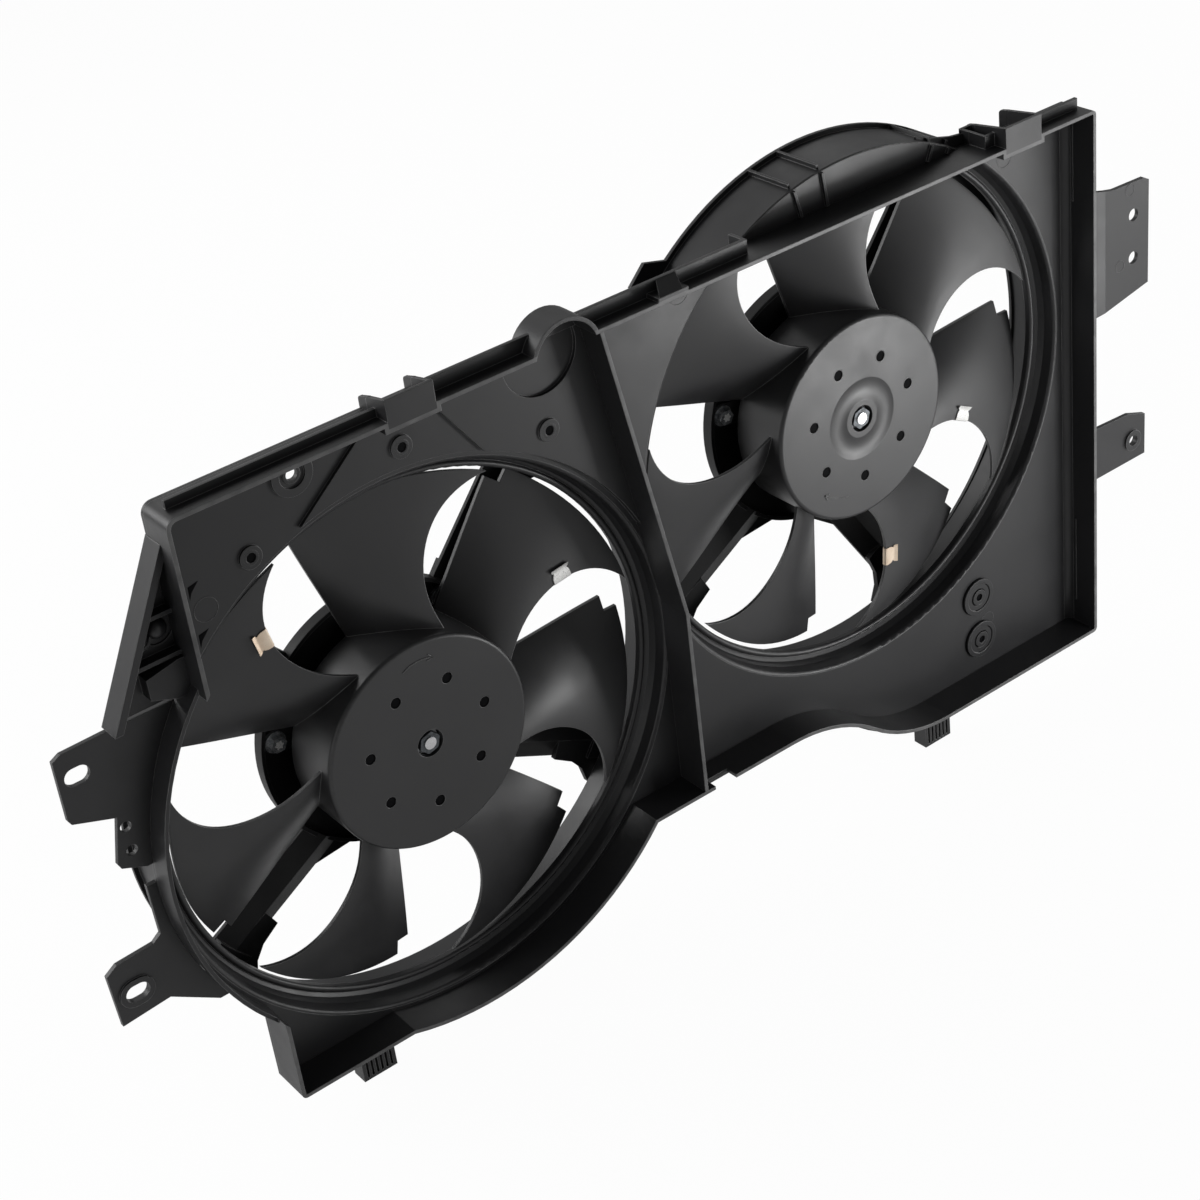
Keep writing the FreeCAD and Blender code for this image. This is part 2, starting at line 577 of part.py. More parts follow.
def make_strut(x, z, degrees, offset):
    """A folded strut from the motor plate to the ring's flange, its ridge towards the fan."""
    inner, outer = 55.0, RING_FLANGE_R + 5.0
    middle = z + offset
    low, high = middle - STRUT_HALF, middle + STRUT_HALF

    def section(radius, back):
        ridge = back - STRUT_RIDGE
        loop = [V(x + radius, back, low), V(x + radius, ridge, middle), V(x + radius, back, high),
                V(x + radius, back + STRUT_THICK, high),
                V(x + radius, ridge + STRUT_THICK, middle),
                V(x + radius, back + STRUT_THICK, low)]
        return Part.makePolygon(loop + loop[:1])

    sections = [section(inner, PLATE_Y + PLATE_THICK - STRUT_THICK),
                section(outer, RING_REAR_Y + STRUT_RIDGE)]
    blank = Part.makeLoft(sections, True, True)
    foot = box(x + BEAD_R - 48.0, x + outer, RING_REAR_Y, RING_REAR_Y + STRUT_RIDGE, low, high)
    foot = foot.cut(rod(x, z, BEAD_R + 0.5, 0, 100))
    side = 1 if offset > 0 else -1
    edge = middle + side * STRUT_HALF
    root = prism([(x + 50, middle - side * STRUT_HALF), (x + STRUT_FLARE_U, middle - side * STRUT_HALF),
                  (x + STRUT_FLARE_U, edge), (x + STRUT_ROOT_U, edge + side * STRUT_FLARE),
                  (x + 50, edge + side * STRUT_FLARE)], PLATE_Y - 1, PLATE_Y + PLATE_THICK)
    web = prism([(x + BEAD_R - 30.0, edge), (x + BEAD_R - 15.0, edge + side * 2.5),
                 (x + BEAD_R - 5.0, edge + side * 8.0), (x + BEAD_R + 3.0, edge + side * 18.0),
                 (x + outer, edge + side * 18.0), (x + outer, middle), (x + BEAD_R - 30.0, middle)],
                RING_REAR_Y + 2.0, RING_REAR_Y + STRUT_RIDGE)
    lug = prism([(x + BEAD_R + 8.0, edge), (x + BEAD_R + 8.0, edge + side * 18.0),
                 (x + outer, edge + side * 18.0), (x + outer, edge)], RING_REAR_Y, RING_REAR_Y + 4.0)
    strut = blank.fuse([foot, root, web, lug]).common(rod(x, z, RING_FLANGE_R - 1, 0, 100))
    return turned(strut, x, z, degrees)


def make_spider(x, z, struts):
    """Motor plate with its rim, carried by four struts behind the blades."""
    rear = PLATE_Y + PLATE_THICK
    plate = rod(x, z, PLATE_R, PLATE_Y, rear)
    rim = tube(x, z, PLATE_R, PLATE_R - PLATE_RIM, PLATE_Y - PLATE_RIM_DEPTH + PLATE_THICK, rear)
    arms = [make_strut(x, z, angle, offset) for angle, offset in struts]
    spider = plate.fuse([rim] + arms)
    spider = spider.cut(rod(x, z, PLATE_R - PLATE_RIM, PLATE_Y - 40, PLATE_Y))
    spider = spider.cut(rod(x, z, CAN_R, 0, rear + 50))
    holes = [screw_place(x, z, k) for k in range(SCREWS)]
    spider = spider.cut([rod(p.x, p.z, SCREW_R, 0, rear + 20) for p in holes])
    return spider.removeSplitter()


def screw_place(x, z, k):
    return polar(x, z, SCREW_CIRCLE_R, SCREW_PHASE + 360.0 * k / SCREWS)


def blade_point(x, z, s, c):
    """Front side of a blade: s runs from hub to tip, c from the leading to the trailing edge."""
    radius = BLADE_ROOT_R + (TIP_R - BLADE_ROOT_R) * s
    t = (radius - BLADE_ROOT_R + 0.5) / (TIP_R - BLADE_ROOT_R + 0.8)
    lead = -37.07 + 75.25 * t - 168.66 * t ** 2 + 167.53 * t ** 3 - 77.07 * t ** 4
    trail = 3.41 + 3.59 * t - 2.03 * t ** 2
    lead_y = HUB_FACE_Y + 7.85 + 17.8 * t - 12.54 * t ** 2
    trail_y = HUB_FACE_Y + 40.5 - 5.55 * t
    lift = c - BLADE_CAMBER * c * (1 - c)
    return polar(x, z, radius, lead + (trail - lead) * c, lead_y + (trail_y - lead_y) * lift)


def make_blade(x, z):
    rows = [[blade_point(x, z, i / 6.0, j / 4.0) for j in range(5)] for i in range(7)]
    surface = Part.BSplineSurface()
    surface.interpolate(rows)
    blade = surface.toShape().extrude(V(0, BLADE_THICK, 0))
    # The trailing corner at the tip is cut back.
    notch = box(x + TIP_R - 9.5, x + TIP_R + 12.0, 0, 200, z + 4.0, z + 30.0)
    return blade.cut(notch)


def balance_clip(x, z, blade, s, fan):
    """Steel clip pushed over a blade's leading edge, in the blade's own slope."""
    edge = blade_point(x, z, s, 0.0)
    inside = (blade_point(x, z, s, 0.12) - edge).normalize()
    span = (blade_point(x, z, s + 0.04, 0.0) - blade_point(x, z, s - 0.04, 0.0)).normalize()
    span = (span - inside * span.dot(inside)).normalize()
    normal = inside.cross(span)
    middle = edge + V(0, BLADE_THICK / 2, 0)
    half = CLIP_GRIP / 2
    loop = []
    for a, b in ((-CLIP_SHEET, -1), (CLIP_REACH, -1), (CLIP_REACH, 1), (-CLIP_SHEET, 1)):
        loop.append(middle + inside * a + span * (b * CLIP_LENGTH / 2) - normal * half)
    clip = Part.Face(Part.makePolygon(loop + loop[:1])).extrude(normal * CLIP_GRIP)
    clip = turned(clip, x, z, 360.0 * blade / BLADES)
    return clip.cut(fan)


def make_hub(x, z, dished):
    """Cup of the fan: flat face, rounded edge, deep side wall and a boss for the shaft."""
    front, rear = HUB_FACE_Y, HUB_FACE_Y + HUB_DEPTH
    inner = HUB_R - HUB_WALL
    seat = front + HUB_SEAT_DEPTH
    cup = rod(x, z, HUB_R, front, rear)
    cup = cup.makeFillet(HUB_EDGE_R, [e for e in cup.Edges if abs(e.BoundBox.YMax - front) < 0.01])
    cup = cup.cut(rod(x, z, inner, front + HUB_WALL, rear + 1))
    boss = rod(x, z, HUB_BOSS_R, front, front + HUB_BOSS_DEPTH)
    cup = cup.fuse(boss)
    cup = cup.cut(rod(x, z, HUB_RECESS_R, front - 1, seat))
    cup = cup.cut(rod(x, z, SHAFT_R, front - 1, rear))
    step = 360.0 / BLADES
    places = [polar(x, z, HUB_HOLES_R, HUB_HOLES_PHASE + k * step) for k in range(BLADES)]
    cup = cup.cut([rod(p.x, p.z, HUB_HOLE_R, front - 1, front + HUB_HOLE_DEPTH) for p in places])
    if dished:
        inner, middle, outer = ((DISH_IN_R, 0), ((DISH_IN_R + DISH_OUT_R) / 2, DISH_DEPTH),
                                (DISH_OUT_R, 0))
        curve = Part.Arc(*[V(x + r, front + y, z) for r, y in (inner, middle, outer)]).toShape()
        closing = Part.makeLine(V(x + DISH_OUT_R, front, z), V(x + DISH_IN_R, front, z))
        dish = Part.Face(Part.Wire([curve, closing])).revolve(V(x, 0, z), ALONG_Y, 360)
        cup = cup.cut(dish)
    return cup


def make_fan(x, z, dished):
    hub = make_hub(x, z, dished)
    blade = make_blade(x, z)
    step = 360.0 / BLADES
    blades = [turned(blade, x, z, k * step) for k in range(BLADES)]
    return hub.fuse(blades)


def make_nut(x, z, y0):
    radius = NUT_ACROSS / math.sqrt(3)
    corners = [polar(x, z, radius, 60 * k + 15) for k in range(6)]
    nut = prism([(p.x, p.z) for p in corners], y0, y0 + NUT_HEIGHT)
    return nut.cut(rod(x, z, SHAFT_R, y0 - 1, y0 + NUT_HEIGHT + 1))


def make_screw(x, z, k):
    p = screw_place(x, z, k)
    seat = PLATE_Y - EAR_THICK
    shank = rod(p.x, p.z, SCREW_R, seat, PLATE_Y + PLATE_THICK + 8)
    flange = rod(p.x, p.z, SCREW_FLANGE_R, seat - SCREW_FLANGE, seat)
    corners = [polar(p.x, p.z, SCREW_HEAD_R, 60 * i) for i in range(6)]
    head = prism([(c.x, c.z) for c in corners], seat - SCREW_FLANGE - SCREW_HEAD, seat - SCREW_FLANGE)
    return head.fuse([flange, shank])


def motor_pieces(side, x, z):
    """The stationary pieces of one motor, and the turning ones on its shaft."""
    ear_front = PLATE_Y - EAR_THICK
    can = rod(x, z, CAN_R, CAN_FRONT_Y, CAN_REAR_Y)
    can = can.cut(rod(x, z, CAN_R - CAN_WALL, CAN_FRONT_Y + CAN_WALL, CAN_REAR_Y + 1))
    seat_y = CAN_FRONT_Y - BEARING_WIDTH + CAN_WALL
    nose = rod(x, z, BEARING_R + CAN_WALL, seat_y - CAN_WALL, CAN_FRONT_Y + CAN_WALL)
    can = can.fuse(nose)
    can = can.cut(rod(x, z, BEARING_R, seat_y, CAN_FRONT_Y + CAN_WALL + 1))
    can = can.cut(rod(x, z, SHAFT_R + 1.5, 0, CAN_FRONT_Y))
    ears = []
    for k in range(SCREWS):
        p = screw_place(x, z, k)
        ear_r = PLATE_R - PLATE_RIM - SCREW_CIRCLE_R - 0.2
        ear = rod(p.x, p.z, ear_r, ear_front, PLATE_Y)
        arm = box(x, x + SCREW_CIRCLE_R, ear_front, PLATE_Y, z - ear_r, z + ear_r)
        arm = turned(arm, x, z, SCREW_PHASE + 360.0 * k / SCREWS)
        ears += [ear.fuse(arm)]
    flange = tube(x, z, 60.0, CAN_R, ear_front, PLATE_Y).fuse(ears)
    flange = flange.cut(rod(x, z, CAN_R, 0, 200))
    for k in range(SCREWS):
        p = screw_place(x, z, k)
        flange = flange.cut(rod(p.x, p.z, SCREW_R, 0, 200))
    socket = box(x - 10, x + 10, CAN_REAR_Y - 16, CAN_REAR_Y - 2, z + 30, z + CAN_R + SOCKET_REACH)
    mouth = box(x - 8, x + 8, CAN_REAR_Y - 14, CAN_REAR_Y - 4, z + CAN_R + 3, z + CAN_R + 50)
    socket = socket.cut(mouth).cut(rod(x, z, CAN_R, 0, 200))
    bell = rod(x, z, CAN_R, CAN_REAR_Y, CAN_REAR_Y + END_BELL_THICK)
    nose_y = CAN_REAR_Y + END_BELL_THICK
    bell = bell.fuse(rod(x, z, END_BELL_NOSE_R, nose_y, nose_y + END_BELL_NOSE))
    rear_seat = nose_y + END_BELL_NOSE - WALL - BEARING_WIDTH
    bell = bell.cut(rod(x, z, BEARING_R, CAN_REAR_Y - 1, rear_seat + BEARING_WIDTH))
    bearing_in = SHAFT_R + BEARING_PLAY
    magnet_out = CAN_R - CAN_WALL
    magnet_in = magnet_out - MAGNET_THICK
    shell = tube(x, z, magnet_out, magnet_in, ARMATURE_FRONT_Y - 3, ARMATURE_REAR_Y + 3)
    keeper = box(x - 60, x + 60, 0, 200, z - 14, z + 14)
    magnets = shell.cut(keeper)
    brush_y = ARMATURE_REAR_Y + 3
    holder = tube(x, z, magnet_out, COMMUTATOR_R + 8, brush_y, brush_y + 3)
    brushes = []
    for turn in (45, 135, 225, 315):
        block = box(x + COMMUTATOR_R + AIR_GAP / 2, x + COMMUTATOR_R + 18, brush_y + 3, brush_y + 9,
                    z - 4, z + 4)
        brushes.append(turned(block, x, z, turn))
    armature_r = magnet_in - AIR_GAP
    core = rod(x, z, armature_r, ARMATURE_FRONT_Y, ARMATURE_REAR_Y)
    core = core.cut(rod(x, z, SHAFT_R, 0, 200))
    slots = [turned(box(x + armature_r - 6, x + armature_r + 1, 0, 200, z - 1.2, z + 1.2), x, z, 30 * k)
             for k in range(12)]
    core = core.cut(slots)
    commutator = tube(x, z, COMMUTATOR_R, SHAFT_R, brush_y + 1, brush_y + 1 + COMMUTATOR_LENGTH)
    shaft = rod(x, z, SHAFT_R, SHAFT_FRONT_Y, rear_seat + BEARING_WIDTH - 0.5)
    seat = HUB_FACE_Y + HUB_SEAT_DEPTH
    washer = tube(x, z, WASHER_R, SHAFT_R, seat - WASHER_THICK, seat)
    nut = make_nut(x, z, seat - WASHER_THICK - NUT_HEIGHT)
    nut = nut.common(rod(x, z, NUT_ACROSS / 2 + 0.7, 0, 200))
    return {
        side + "_motor_can": can,
        side + "_motor_flange": flange,
        side + "_motor_end_bell": bell,
        side + "_connector_socket": socket,
        side + "_front_bearing": tube(x, z, BEARING_R, bearing_in, seat_y, seat_y + BEARING_WIDTH),
        side + "_rear_bearing": tube(x, z, BEARING_R, bearing_in, rear_seat, rear_seat + BEARING_WIDTH),
        side + "_magnets": magnets,
        side + "_brush_holder": holder,
        side + "_brushes": Part.makeCompound(brushes),
        side + "_armature": core,
        side + "_commutator": commutator,
        side + "_shaft": shaft,
        side + "_hub_washer": washer,
        side + "_hub_nut": nut,
        side + "_motor_screws": Part.makeCompound([make_screw(x, z, k) for k in range(SCREWS)]),
    }


def bent(outline, x0, x1, joggle):
    """A plate cut from a sheet that steps back between two places along X."""
    front, rear = TRAY_DEPTH, TRAY_DEPTH + BRACKET_THICK
    path = [(-1000.0, front + joggle), (x0, front + joggle), (x1, front), (3000.0, front)]
    path += [(x, y + BRACKET_THICK) for x, y in reversed(path)]
    loop = [V(x, y, -100) for x, y in path]
    sheet = Part.Face(Part.makePolygon(loop + loop[:1])).extrude(V(0, 0, 2 * RIM_HEIGHT))
    return prism(outline, front, rear + joggle).common(sheet)


def make_right_lower_bracket():
    edge, x, z = RIM_WIDTH, LOCATING_HOLE_X, LOCATING_HOLE_Z
    front, rear = TRAY_DEPTH, TRAY_DEPTH + BRACKET_THICK
    outline = [(edge, z - 16.9), (x + 13.5, z - 16.1), (x + 13.5, z + 16.3), (x - 4.0, z + 22.6),
               (edge, z + 25.6)]
    plate = prism(outline, front + LOCATING_BOSS, rear + LOCATING_BOSS)
    plate = plate.fuse(rod(x, z, LOCATING_BOSS_R, front, rear + LOCATING_BOSS))
    return plate.cut(rod(x, z, LOCATING_HOLE_R, 0, 60))


def make_right_upper_bracket():
    edge, x, z = RIM_WIDTH, UPPER_HOLES_X, UPPER_HOLES_Z
    outline = [(edge, z - 54.7), (x + 15.2, z - 39.7), (x + 15.2, z + 37.0), (x + 10.2, z + 39.8),
               (x - 19.7, z + 40.9), (x - 37.3, z + 44.8), (edge, z + 49.3)]
    plate = bent(outline, x - 36.0, x - 28.0, LOCATING_BOSS)
    half = UPPER_HOLES_PITCH / 2
    return plate.cut([rod(x, z + side, UPPER_HOLE_R, 0, 60) for side in (-half, half)])


def trimmed_to_bulge(plate):
    beside = box(0, RIM_WIDTH, 0, 60, 0, RIM_HEIGHT)
    return plate.cut(rod(LEFT_X, LEFT_Z, BULGE_WALL_R, 0, 60)).cut(beside)


def make_left_upper_bracket():
    y0, y1 = TRAY_DEPTH, TRAY_DEPTH + BRACKET_THICK
    x, z, clip_x, clip_z = SLOT_X, UPPER_SLOT_Z, CLIP_HOLES_X, CLIP_HOLES_Z
    plate = prism([(x - 11.4, z + 13.9), (x - 5.9, z + 16.8), (x + 21.9, z + 17.3), (0.0, z + 17.3),
                   (0.0, clip_z - 22.8), (clip_x + 6.3, clip_z - 22.8), (clip_x - 8.4, clip_z - 16.3),
                   (clip_x - 10.0, clip_z - 12.7), (clip_x - 3.5, clip_z + 16.0),
                   (x - 10.1, z - 27.2), (x - 11.7, z - 24.2)], y0, y1)
    plate = trimmed_to_bulge(plate)
    plate = plate.cut(slot(x, z, SLOT_LENGTH, SLOT_WIDTH, 0, 60))
    half = CLIP_HOLES_PITCH / 2
    return plate.cut([rod(clip_x, clip_z + side, CLIP_HOLE_R, 0, 60) for side in (-half, half)])


def make_left_lower_bracket():
    front, rear = TRAY_DEPTH, TRAY_DEPTH + BRACKET_THICK
    x, z = SLOT_X, LOWER_SLOT_Z
    outline = [(x - 14.8, z + 18.5), (x - 7.4, z + 23.3), (x + 16.6, z + 24.6), (x + 22.0, z + 28.6),
               (x + 21.3, z + 62.9), (0.0, z + 62.9), (0.0, z - 35.0), (x + 46.8, z - 35.0),
               (x + 18.0, z - 15.7), (x - 13.2, z - 18.3)]
    plate = trimmed_to_bulge(prism(outline, front + LOCATING_BOSS, rear + LOCATING_BOSS))
    rim = slot(x, z, SLOT_LENGTH + 7, SLOT_WIDTH + 7, front, rear)
    return plate.fuse(rim).cut(slot(x, z, SLOT_LENGTH, SLOT_WIDTH, 0, 60))


def make_foot(x):
    """Peg that drops into the radiator's lower frame, grooved across its front."""
    y0, y1 = LIP_Y + LIP_THICK, TRAY_DEPTH
    foot = box(x - FOOT_WIDTH / 2, x + FOOT_WIDTH / 2, y0, y1, -FOOT_HEIGHT, 0)
    pitch = FOOT_WIDTH / (FOOT_GROOVES + 1)
    grooves = []
    for k in range(FOOT_GROOVES):
        gx = x - FOOT_WIDTH / 2 + pitch * (k + 1)
        grooves.append(box(gx - 0.8, gx + 0.8, y0 - 1, y0 + 2.5, -FOOT_HEIGHT + 2, -3))
    return foot.cut(grooves)


def build():
    left, right = (LEFT_X, LEFT_Z), (RIGHT_X, RIGHT_Z)
    floor = make_floor()
    pieces = {
        "tray_floor": floor,
        "tray_walls": make_walls().cut(floor),
        "tray_divider": make_divider(),
        "ring_hood": make_hood(),
        "left_pocket": make_pocket(),
        "left_ring": make_ring(*left).common(own_side(*left, *right)),
        "right_ring": make_right_ring(*right).common(own_side(*right, *left)),
        "left_spider": make_spider(LEFT_X, LEFT_Z, LEFT_STRUTS),
        "right_spider": make_spider(RIGHT_X, RIGHT_Z, RIGHT_STRUTS),
        "right_lower_bracket": make_right_lower_bracket(),
        "right_upper_bracket": make_right_upper_bracket(),
        "left_upper_bracket": make_left_upper_bracket(),
        "left_lower_bracket": make_left_lower_bracket(),
        "left_foot": make_foot(LEFT_FOOT_X),
        "right_foot": make_foot(RIGHT_FOOT_X),
        "left_fan": make_fan(LEFT_X, LEFT_Z, False),
        "right_fan": make_fan(RIGHT_X, RIGHT_Z, True),
    }
    for side, x, z in (("left", LEFT_X, LEFT_Z), ("right", RIGHT_X, RIGHT_Z)):
        fan = pieces[side + "_fan"]
        for place, (blade, s) in BALANCE_CLIPS[side].items():
            pieces[side + "_balance_clip_" + place] = balance_clip(x, z, blade, s, fan)
    pieces.update(motor_pieces("left", LEFT_X, LEFT_Z))
    pieces.update(motor_pieces("right", RIGHT_X, RIGHT_Z))
    return pieces


os.makedirs("parts", exist_ok=True)
for name, shape in build().items():
    shape.translate(-ORIGIN)
    shape.exportStep("parts/" + name + ".step")
    print(name, len(shape.Solids), shape.isValid(), round(shape.Volume))
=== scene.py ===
import bpy
import bmesh
import json
import math
from mathutils import Matrix, Vector


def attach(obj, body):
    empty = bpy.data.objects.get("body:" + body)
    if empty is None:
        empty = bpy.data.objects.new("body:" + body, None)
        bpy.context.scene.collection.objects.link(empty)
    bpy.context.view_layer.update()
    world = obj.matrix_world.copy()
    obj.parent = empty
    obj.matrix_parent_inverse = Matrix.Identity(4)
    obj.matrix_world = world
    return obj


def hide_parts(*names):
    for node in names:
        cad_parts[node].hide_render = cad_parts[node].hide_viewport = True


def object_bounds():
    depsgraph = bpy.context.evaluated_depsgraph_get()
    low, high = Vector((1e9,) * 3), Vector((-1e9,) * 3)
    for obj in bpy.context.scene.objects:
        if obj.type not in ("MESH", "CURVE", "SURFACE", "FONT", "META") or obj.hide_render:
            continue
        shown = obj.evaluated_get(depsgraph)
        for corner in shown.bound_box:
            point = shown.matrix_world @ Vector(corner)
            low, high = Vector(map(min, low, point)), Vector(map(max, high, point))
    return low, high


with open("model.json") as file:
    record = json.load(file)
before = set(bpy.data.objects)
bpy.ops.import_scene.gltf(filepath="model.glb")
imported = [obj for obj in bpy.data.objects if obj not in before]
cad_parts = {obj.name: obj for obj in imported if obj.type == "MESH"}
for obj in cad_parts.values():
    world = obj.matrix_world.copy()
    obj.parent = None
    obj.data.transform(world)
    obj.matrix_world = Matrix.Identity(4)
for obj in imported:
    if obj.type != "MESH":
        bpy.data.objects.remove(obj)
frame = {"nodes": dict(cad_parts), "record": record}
cad_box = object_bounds()
nodes = frame["nodes"]

# Where the row's frame lies in the tray's own coordinates, and both fans' axes there, in metres.
# Tray coordinates start at the rim's lower left front corner: x right, y to the back, z up.
ORIGIN = Vector((0.751726, 0.025, 0.1209))
LEFT = Vector((0.1412, 0.0, 0.1743))
RIGHT = Vector((0.493926, 0.0, 0.2458))
FANS = {"left": LEFT, "right": RIGHT}


def at(x, y, z):
    """A point in the row's frame from tray coordinates in millimetres."""
    return Vector((x, y, z)) / 1000 - ORIGIN


def add_object(name, data):
    obj = bpy.data.objects.new(name, data)
    bpy.context.scene.collection.objects.link(obj)
    return obj


def calculate(tree, operation, *values, clamp=False):
    """A math node's result, from sockets and numbers."""
    node = tree.nodes.new("ShaderNodeMath")
    node.operation = operation
    node.use_clamp = clamp
    for socket, value in zip(node.inputs, values):
        if isinstance(value, float):
            socket.default_value = value
        else:
            tree.links.new(value, socket)
    return node.outputs[0]


# Camera, floor and light

SENSOR = 36.0
LENS = 71.9
CLIP_NEAR, CLIP_FAR = 0.05, 60.0
CAMERA_PLACE = (-1.16607, -1.02759, 0.86351)
CAMERA_TURN = (0.818281, 0.472208, -0.110154, -0.308709)

WHITE = (1.0, 1.0, 1.0, 1.0)
WORLD_LIGHT = 0.12
FLOOR_GREY = (0.8, 0.8, 0.8, 1.0)
FLOOR_REACH = 14
FLOOR_GAP = 0.0005
FLOOR_GLOW = 0.97
FLOOR_SHEEN = 0.38

MIDDLE = (-0.37, 0.0, 0.07)
RIGHT_FAN = (-0.2, 0.0, 0.15)

# Name, place, target, side length and watts of each square lamp
LAMPS = (
    ("near_right", (0.08, -0.48, -0.03), RIGHT_FAN, 0.18, 1.7),
    ("low_right", (0.30, -0.70, 0.02), RIGHT_FAN, 0.30, 1.2),
    ("side_right", (0.55, -0.45, 0.08), RIGHT_FAN, 0.4, 1.5),
    ("front", (-0.37, -1.9, 0.35), MIDDLE, 1.0, 1.5),
    ("left", (-2.2, -0.2, 0.3), MIDDLE, 1.0, 7.0),
    ("right", (1.6, 0.0, 0.3), MIDDLE, 1.0, 10.0),
    ("behind", (-0.37, 1.5, 1.1), MIDDLE, 1.4, 6.0),
    ("behind_left", (-1.8, 1.2, 1.0), MIDDLE, 1.2, 24.0),
    ("behind_right", (1.0, 1.2, 1.4), MIDDLE, 1.2, 4.0),
)


def make_camera():
    data = bpy.data.cameras.new("camera")
    data.sensor_width = SENSOR
    data.lens = LENS
    data.clip_start = CLIP_NEAR
    data.clip_end = CLIP_FAR
    cam = add_object("camera", data)
    cam.location = CAMERA_PLACE
    cam.rotation_mode = "QUATERNION"
    cam.rotation_quaternion = CAMERA_TURN
    bpy.context.scene.camera = cam


def make_background(tree, strength):
    node = tree.nodes.new("ShaderNodeBackground")
    node.inputs["Color"].default_value = WHITE
    node.inputs["Strength"].default_value = strength
    return node.outputs[0]


def make_world():
    """Dim even light on the object, in front of a backdrop that the camera sees as white."""
    world = bpy.data.worlds.new("studio")
    world.use_nodes = True
    tree = world.node_tree
    tree.nodes.clear()
    out = tree.nodes.new("ShaderNodeOutputWorld")
    mix = tree.nodes.new("ShaderNodeMixShader")
    path = tree.nodes.new("ShaderNodeLightPath")
    tree.links.new(path.outputs["Is Camera Ray"], mix.inputs[0])
    tree.links.new(make_background(tree, WORLD_LIGHT), mix.inputs[1])
    tree.links.new(make_background(tree, 1.0), mix.inputs[2])
    tree.links.new(mix.outputs[0], out.inputs["Surface"])
    bpy.context.scene.world = world


def make_floor():
    """Pale floor that looks near white and still takes the object's shadow."""
    mesh = bpy.data.meshes.new("floor")
    bm = bmesh.new()
    low = cad_box[0][2] - FLOOR_GAP
    ends = ((-1, -1), (1, -1), (1, 1), (-1, 1))
    bm.faces.new([bm.verts.new((FLOOR_REACH * x, FLOOR_REACH * y, low)) for x, y in ends])
    bm.to_mesh(mesh)
    bm.free()
    floor = add_object("floor", mesh)
    mat = bpy.data.materials.new("pale_floor")
    mat.use_nodes = True
    tree = mat.node_tree
    tree.nodes.clear()
    out = tree.nodes.new("ShaderNodeOutputMaterial")
    diffuse = tree.nodes.new("ShaderNodeBsdfDiffuse")
    diffuse.inputs["Color"].default_value = FLOOR_GREY
    glow = tree.nodes.new("ShaderNodeEmission")
    glow.inputs["Color"].default_value = WHITE
    glow.inputs["Strength"].default_value = 1.0
    path = tree.nodes.new("ShaderNodeLightPath")
    seen = calculate(tree, "MULTIPLY", path.outputs["Is Camera Ray"], FLOOR_GLOW)
    share = calculate(tree, "MULTIPLY_ADD", path.outputs["Is Glossy Ray"], FLOOR_SHEEN, seen)
    mix = tree.nodes.new("ShaderNodeMixShader")
    tree.links.new(share, mix.inputs[0])
    tree.links.new(diffuse.outputs[0], mix.inputs[1])
    tree.links.new(glow.outputs[0], mix.inputs[2])
    tree.links.new(mix.outputs[0], out.inputs["Surface"])
    floor.data.materials.append(mat)


def make_lights():
    for name, place, target, size, power in LAMPS:
        data = bpy.data.lights.new(name, "AREA")
        data.shape = "RECTANGLE"
        data.size = data.size_y = size
        data.energy = power
        lamp = add_object(name, data)
        lamp.location = place
        lamp.rotation_mode = "QUATERNION"
        aim = Vector(target) - Vector(place)
        lamp.rotation_quaternion = aim.to_track_quat("-Z", "Y")


# Materials

SPREAD_START, SPREAD_END = 0.3, 0.7
BEVEL_SAMPLES = 6
# How far the rounded normal turns where the painted edge highlight begins and where it is full
EDGE_START, EDGE_END = 0.03, 0.22

# Front faces of the tray's walls, in tray metres, that get a painted highlight, and the two clips
# where it stays off
FRONT_DEPTH, FRONT_TOP = 0.0003, 0.40025
CLIP_MIDDLES, CLIP_HALF, CLIP_FOOT = (0.15275, 0.61975), 0.01574, 0.39605
FRONT_HIGHLIGHT = 0.5

# Scales of the flow marks, of the painted edge highlight's mottling and of the gloss
FLOW_SCALE, HIGHLIGHT_SCALE, GLOSS_SCALE = 9.0, 90.0, 38.0
PLASTIC_EDGE, SMALL_EDGE, METAL_EDGE = 0.0007, 0.0003, 0.0002


def shader_tree(name):
    mat = bpy.data.materials.new(name)
    mat.use_nodes = True
    tree = mat.node_tree
    tree.nodes.clear()
    out = tree.nodes.new("ShaderNodeOutputMaterial")
    bsdf = tree.nodes.new("ShaderNodeBsdfPrincipled")
    tree.links.new(bsdf.outputs[0], out.inputs["Surface"])
    return mat, tree, bsdf


def noise(tree, coords, scale, detail=3.0, rough=0.55):
    node = tree.nodes.new("ShaderNodeTexNoise")
    node.inputs["Scale"].default_value = scale
    node.inputs["Detail"].default_value = detail
    node.inputs["Roughness"].default_value = rough
    tree.links.new(coords, node.inputs["Vector"])
    return node.outputs["Fac"]


def ramp(tree, fac, low, high):
    """Colours from low to high over the middle of a noise."""
    node = tree.nodes.new("ShaderNodeValToRGB")
    stops = ((SPREAD_START, low), (SPREAD_END, high))
    for element, (position, color) in zip(node.color_ramp.elements, stops):
        element.position = position
        element.color = (*color, 1.0)
    tree.links.new(fac, node.inputs["Fac"])
    return node.outputs["Color"]


def spread(tree, fac, low, high):
    """Numbers from low to high over the middle of a noise."""
    node = tree.nodes.new("ShaderNodeMapRange")
    node.inputs["From Min"].default_value = SPREAD_START
    node.inputs["From Max"].default_value = SPREAD_END
    node.inputs["To Min"].default_value = low
    node.inputs["To Max"].default_value = high
    tree.links.new(fac, node.inputs["Value"])
    return node.outputs[0]


def bump(tree, height, strength, distance, normal):
    node = tree.nodes.new("ShaderNodeBump")
    node.inputs["Strength"].default_value = strength
    node.inputs["Distance"].default_value = distance
    tree.links.new(height, node.inputs["Height"])
    tree.links.new(normal, node.inputs["Normal"])
    return node.outputs["Normal"]


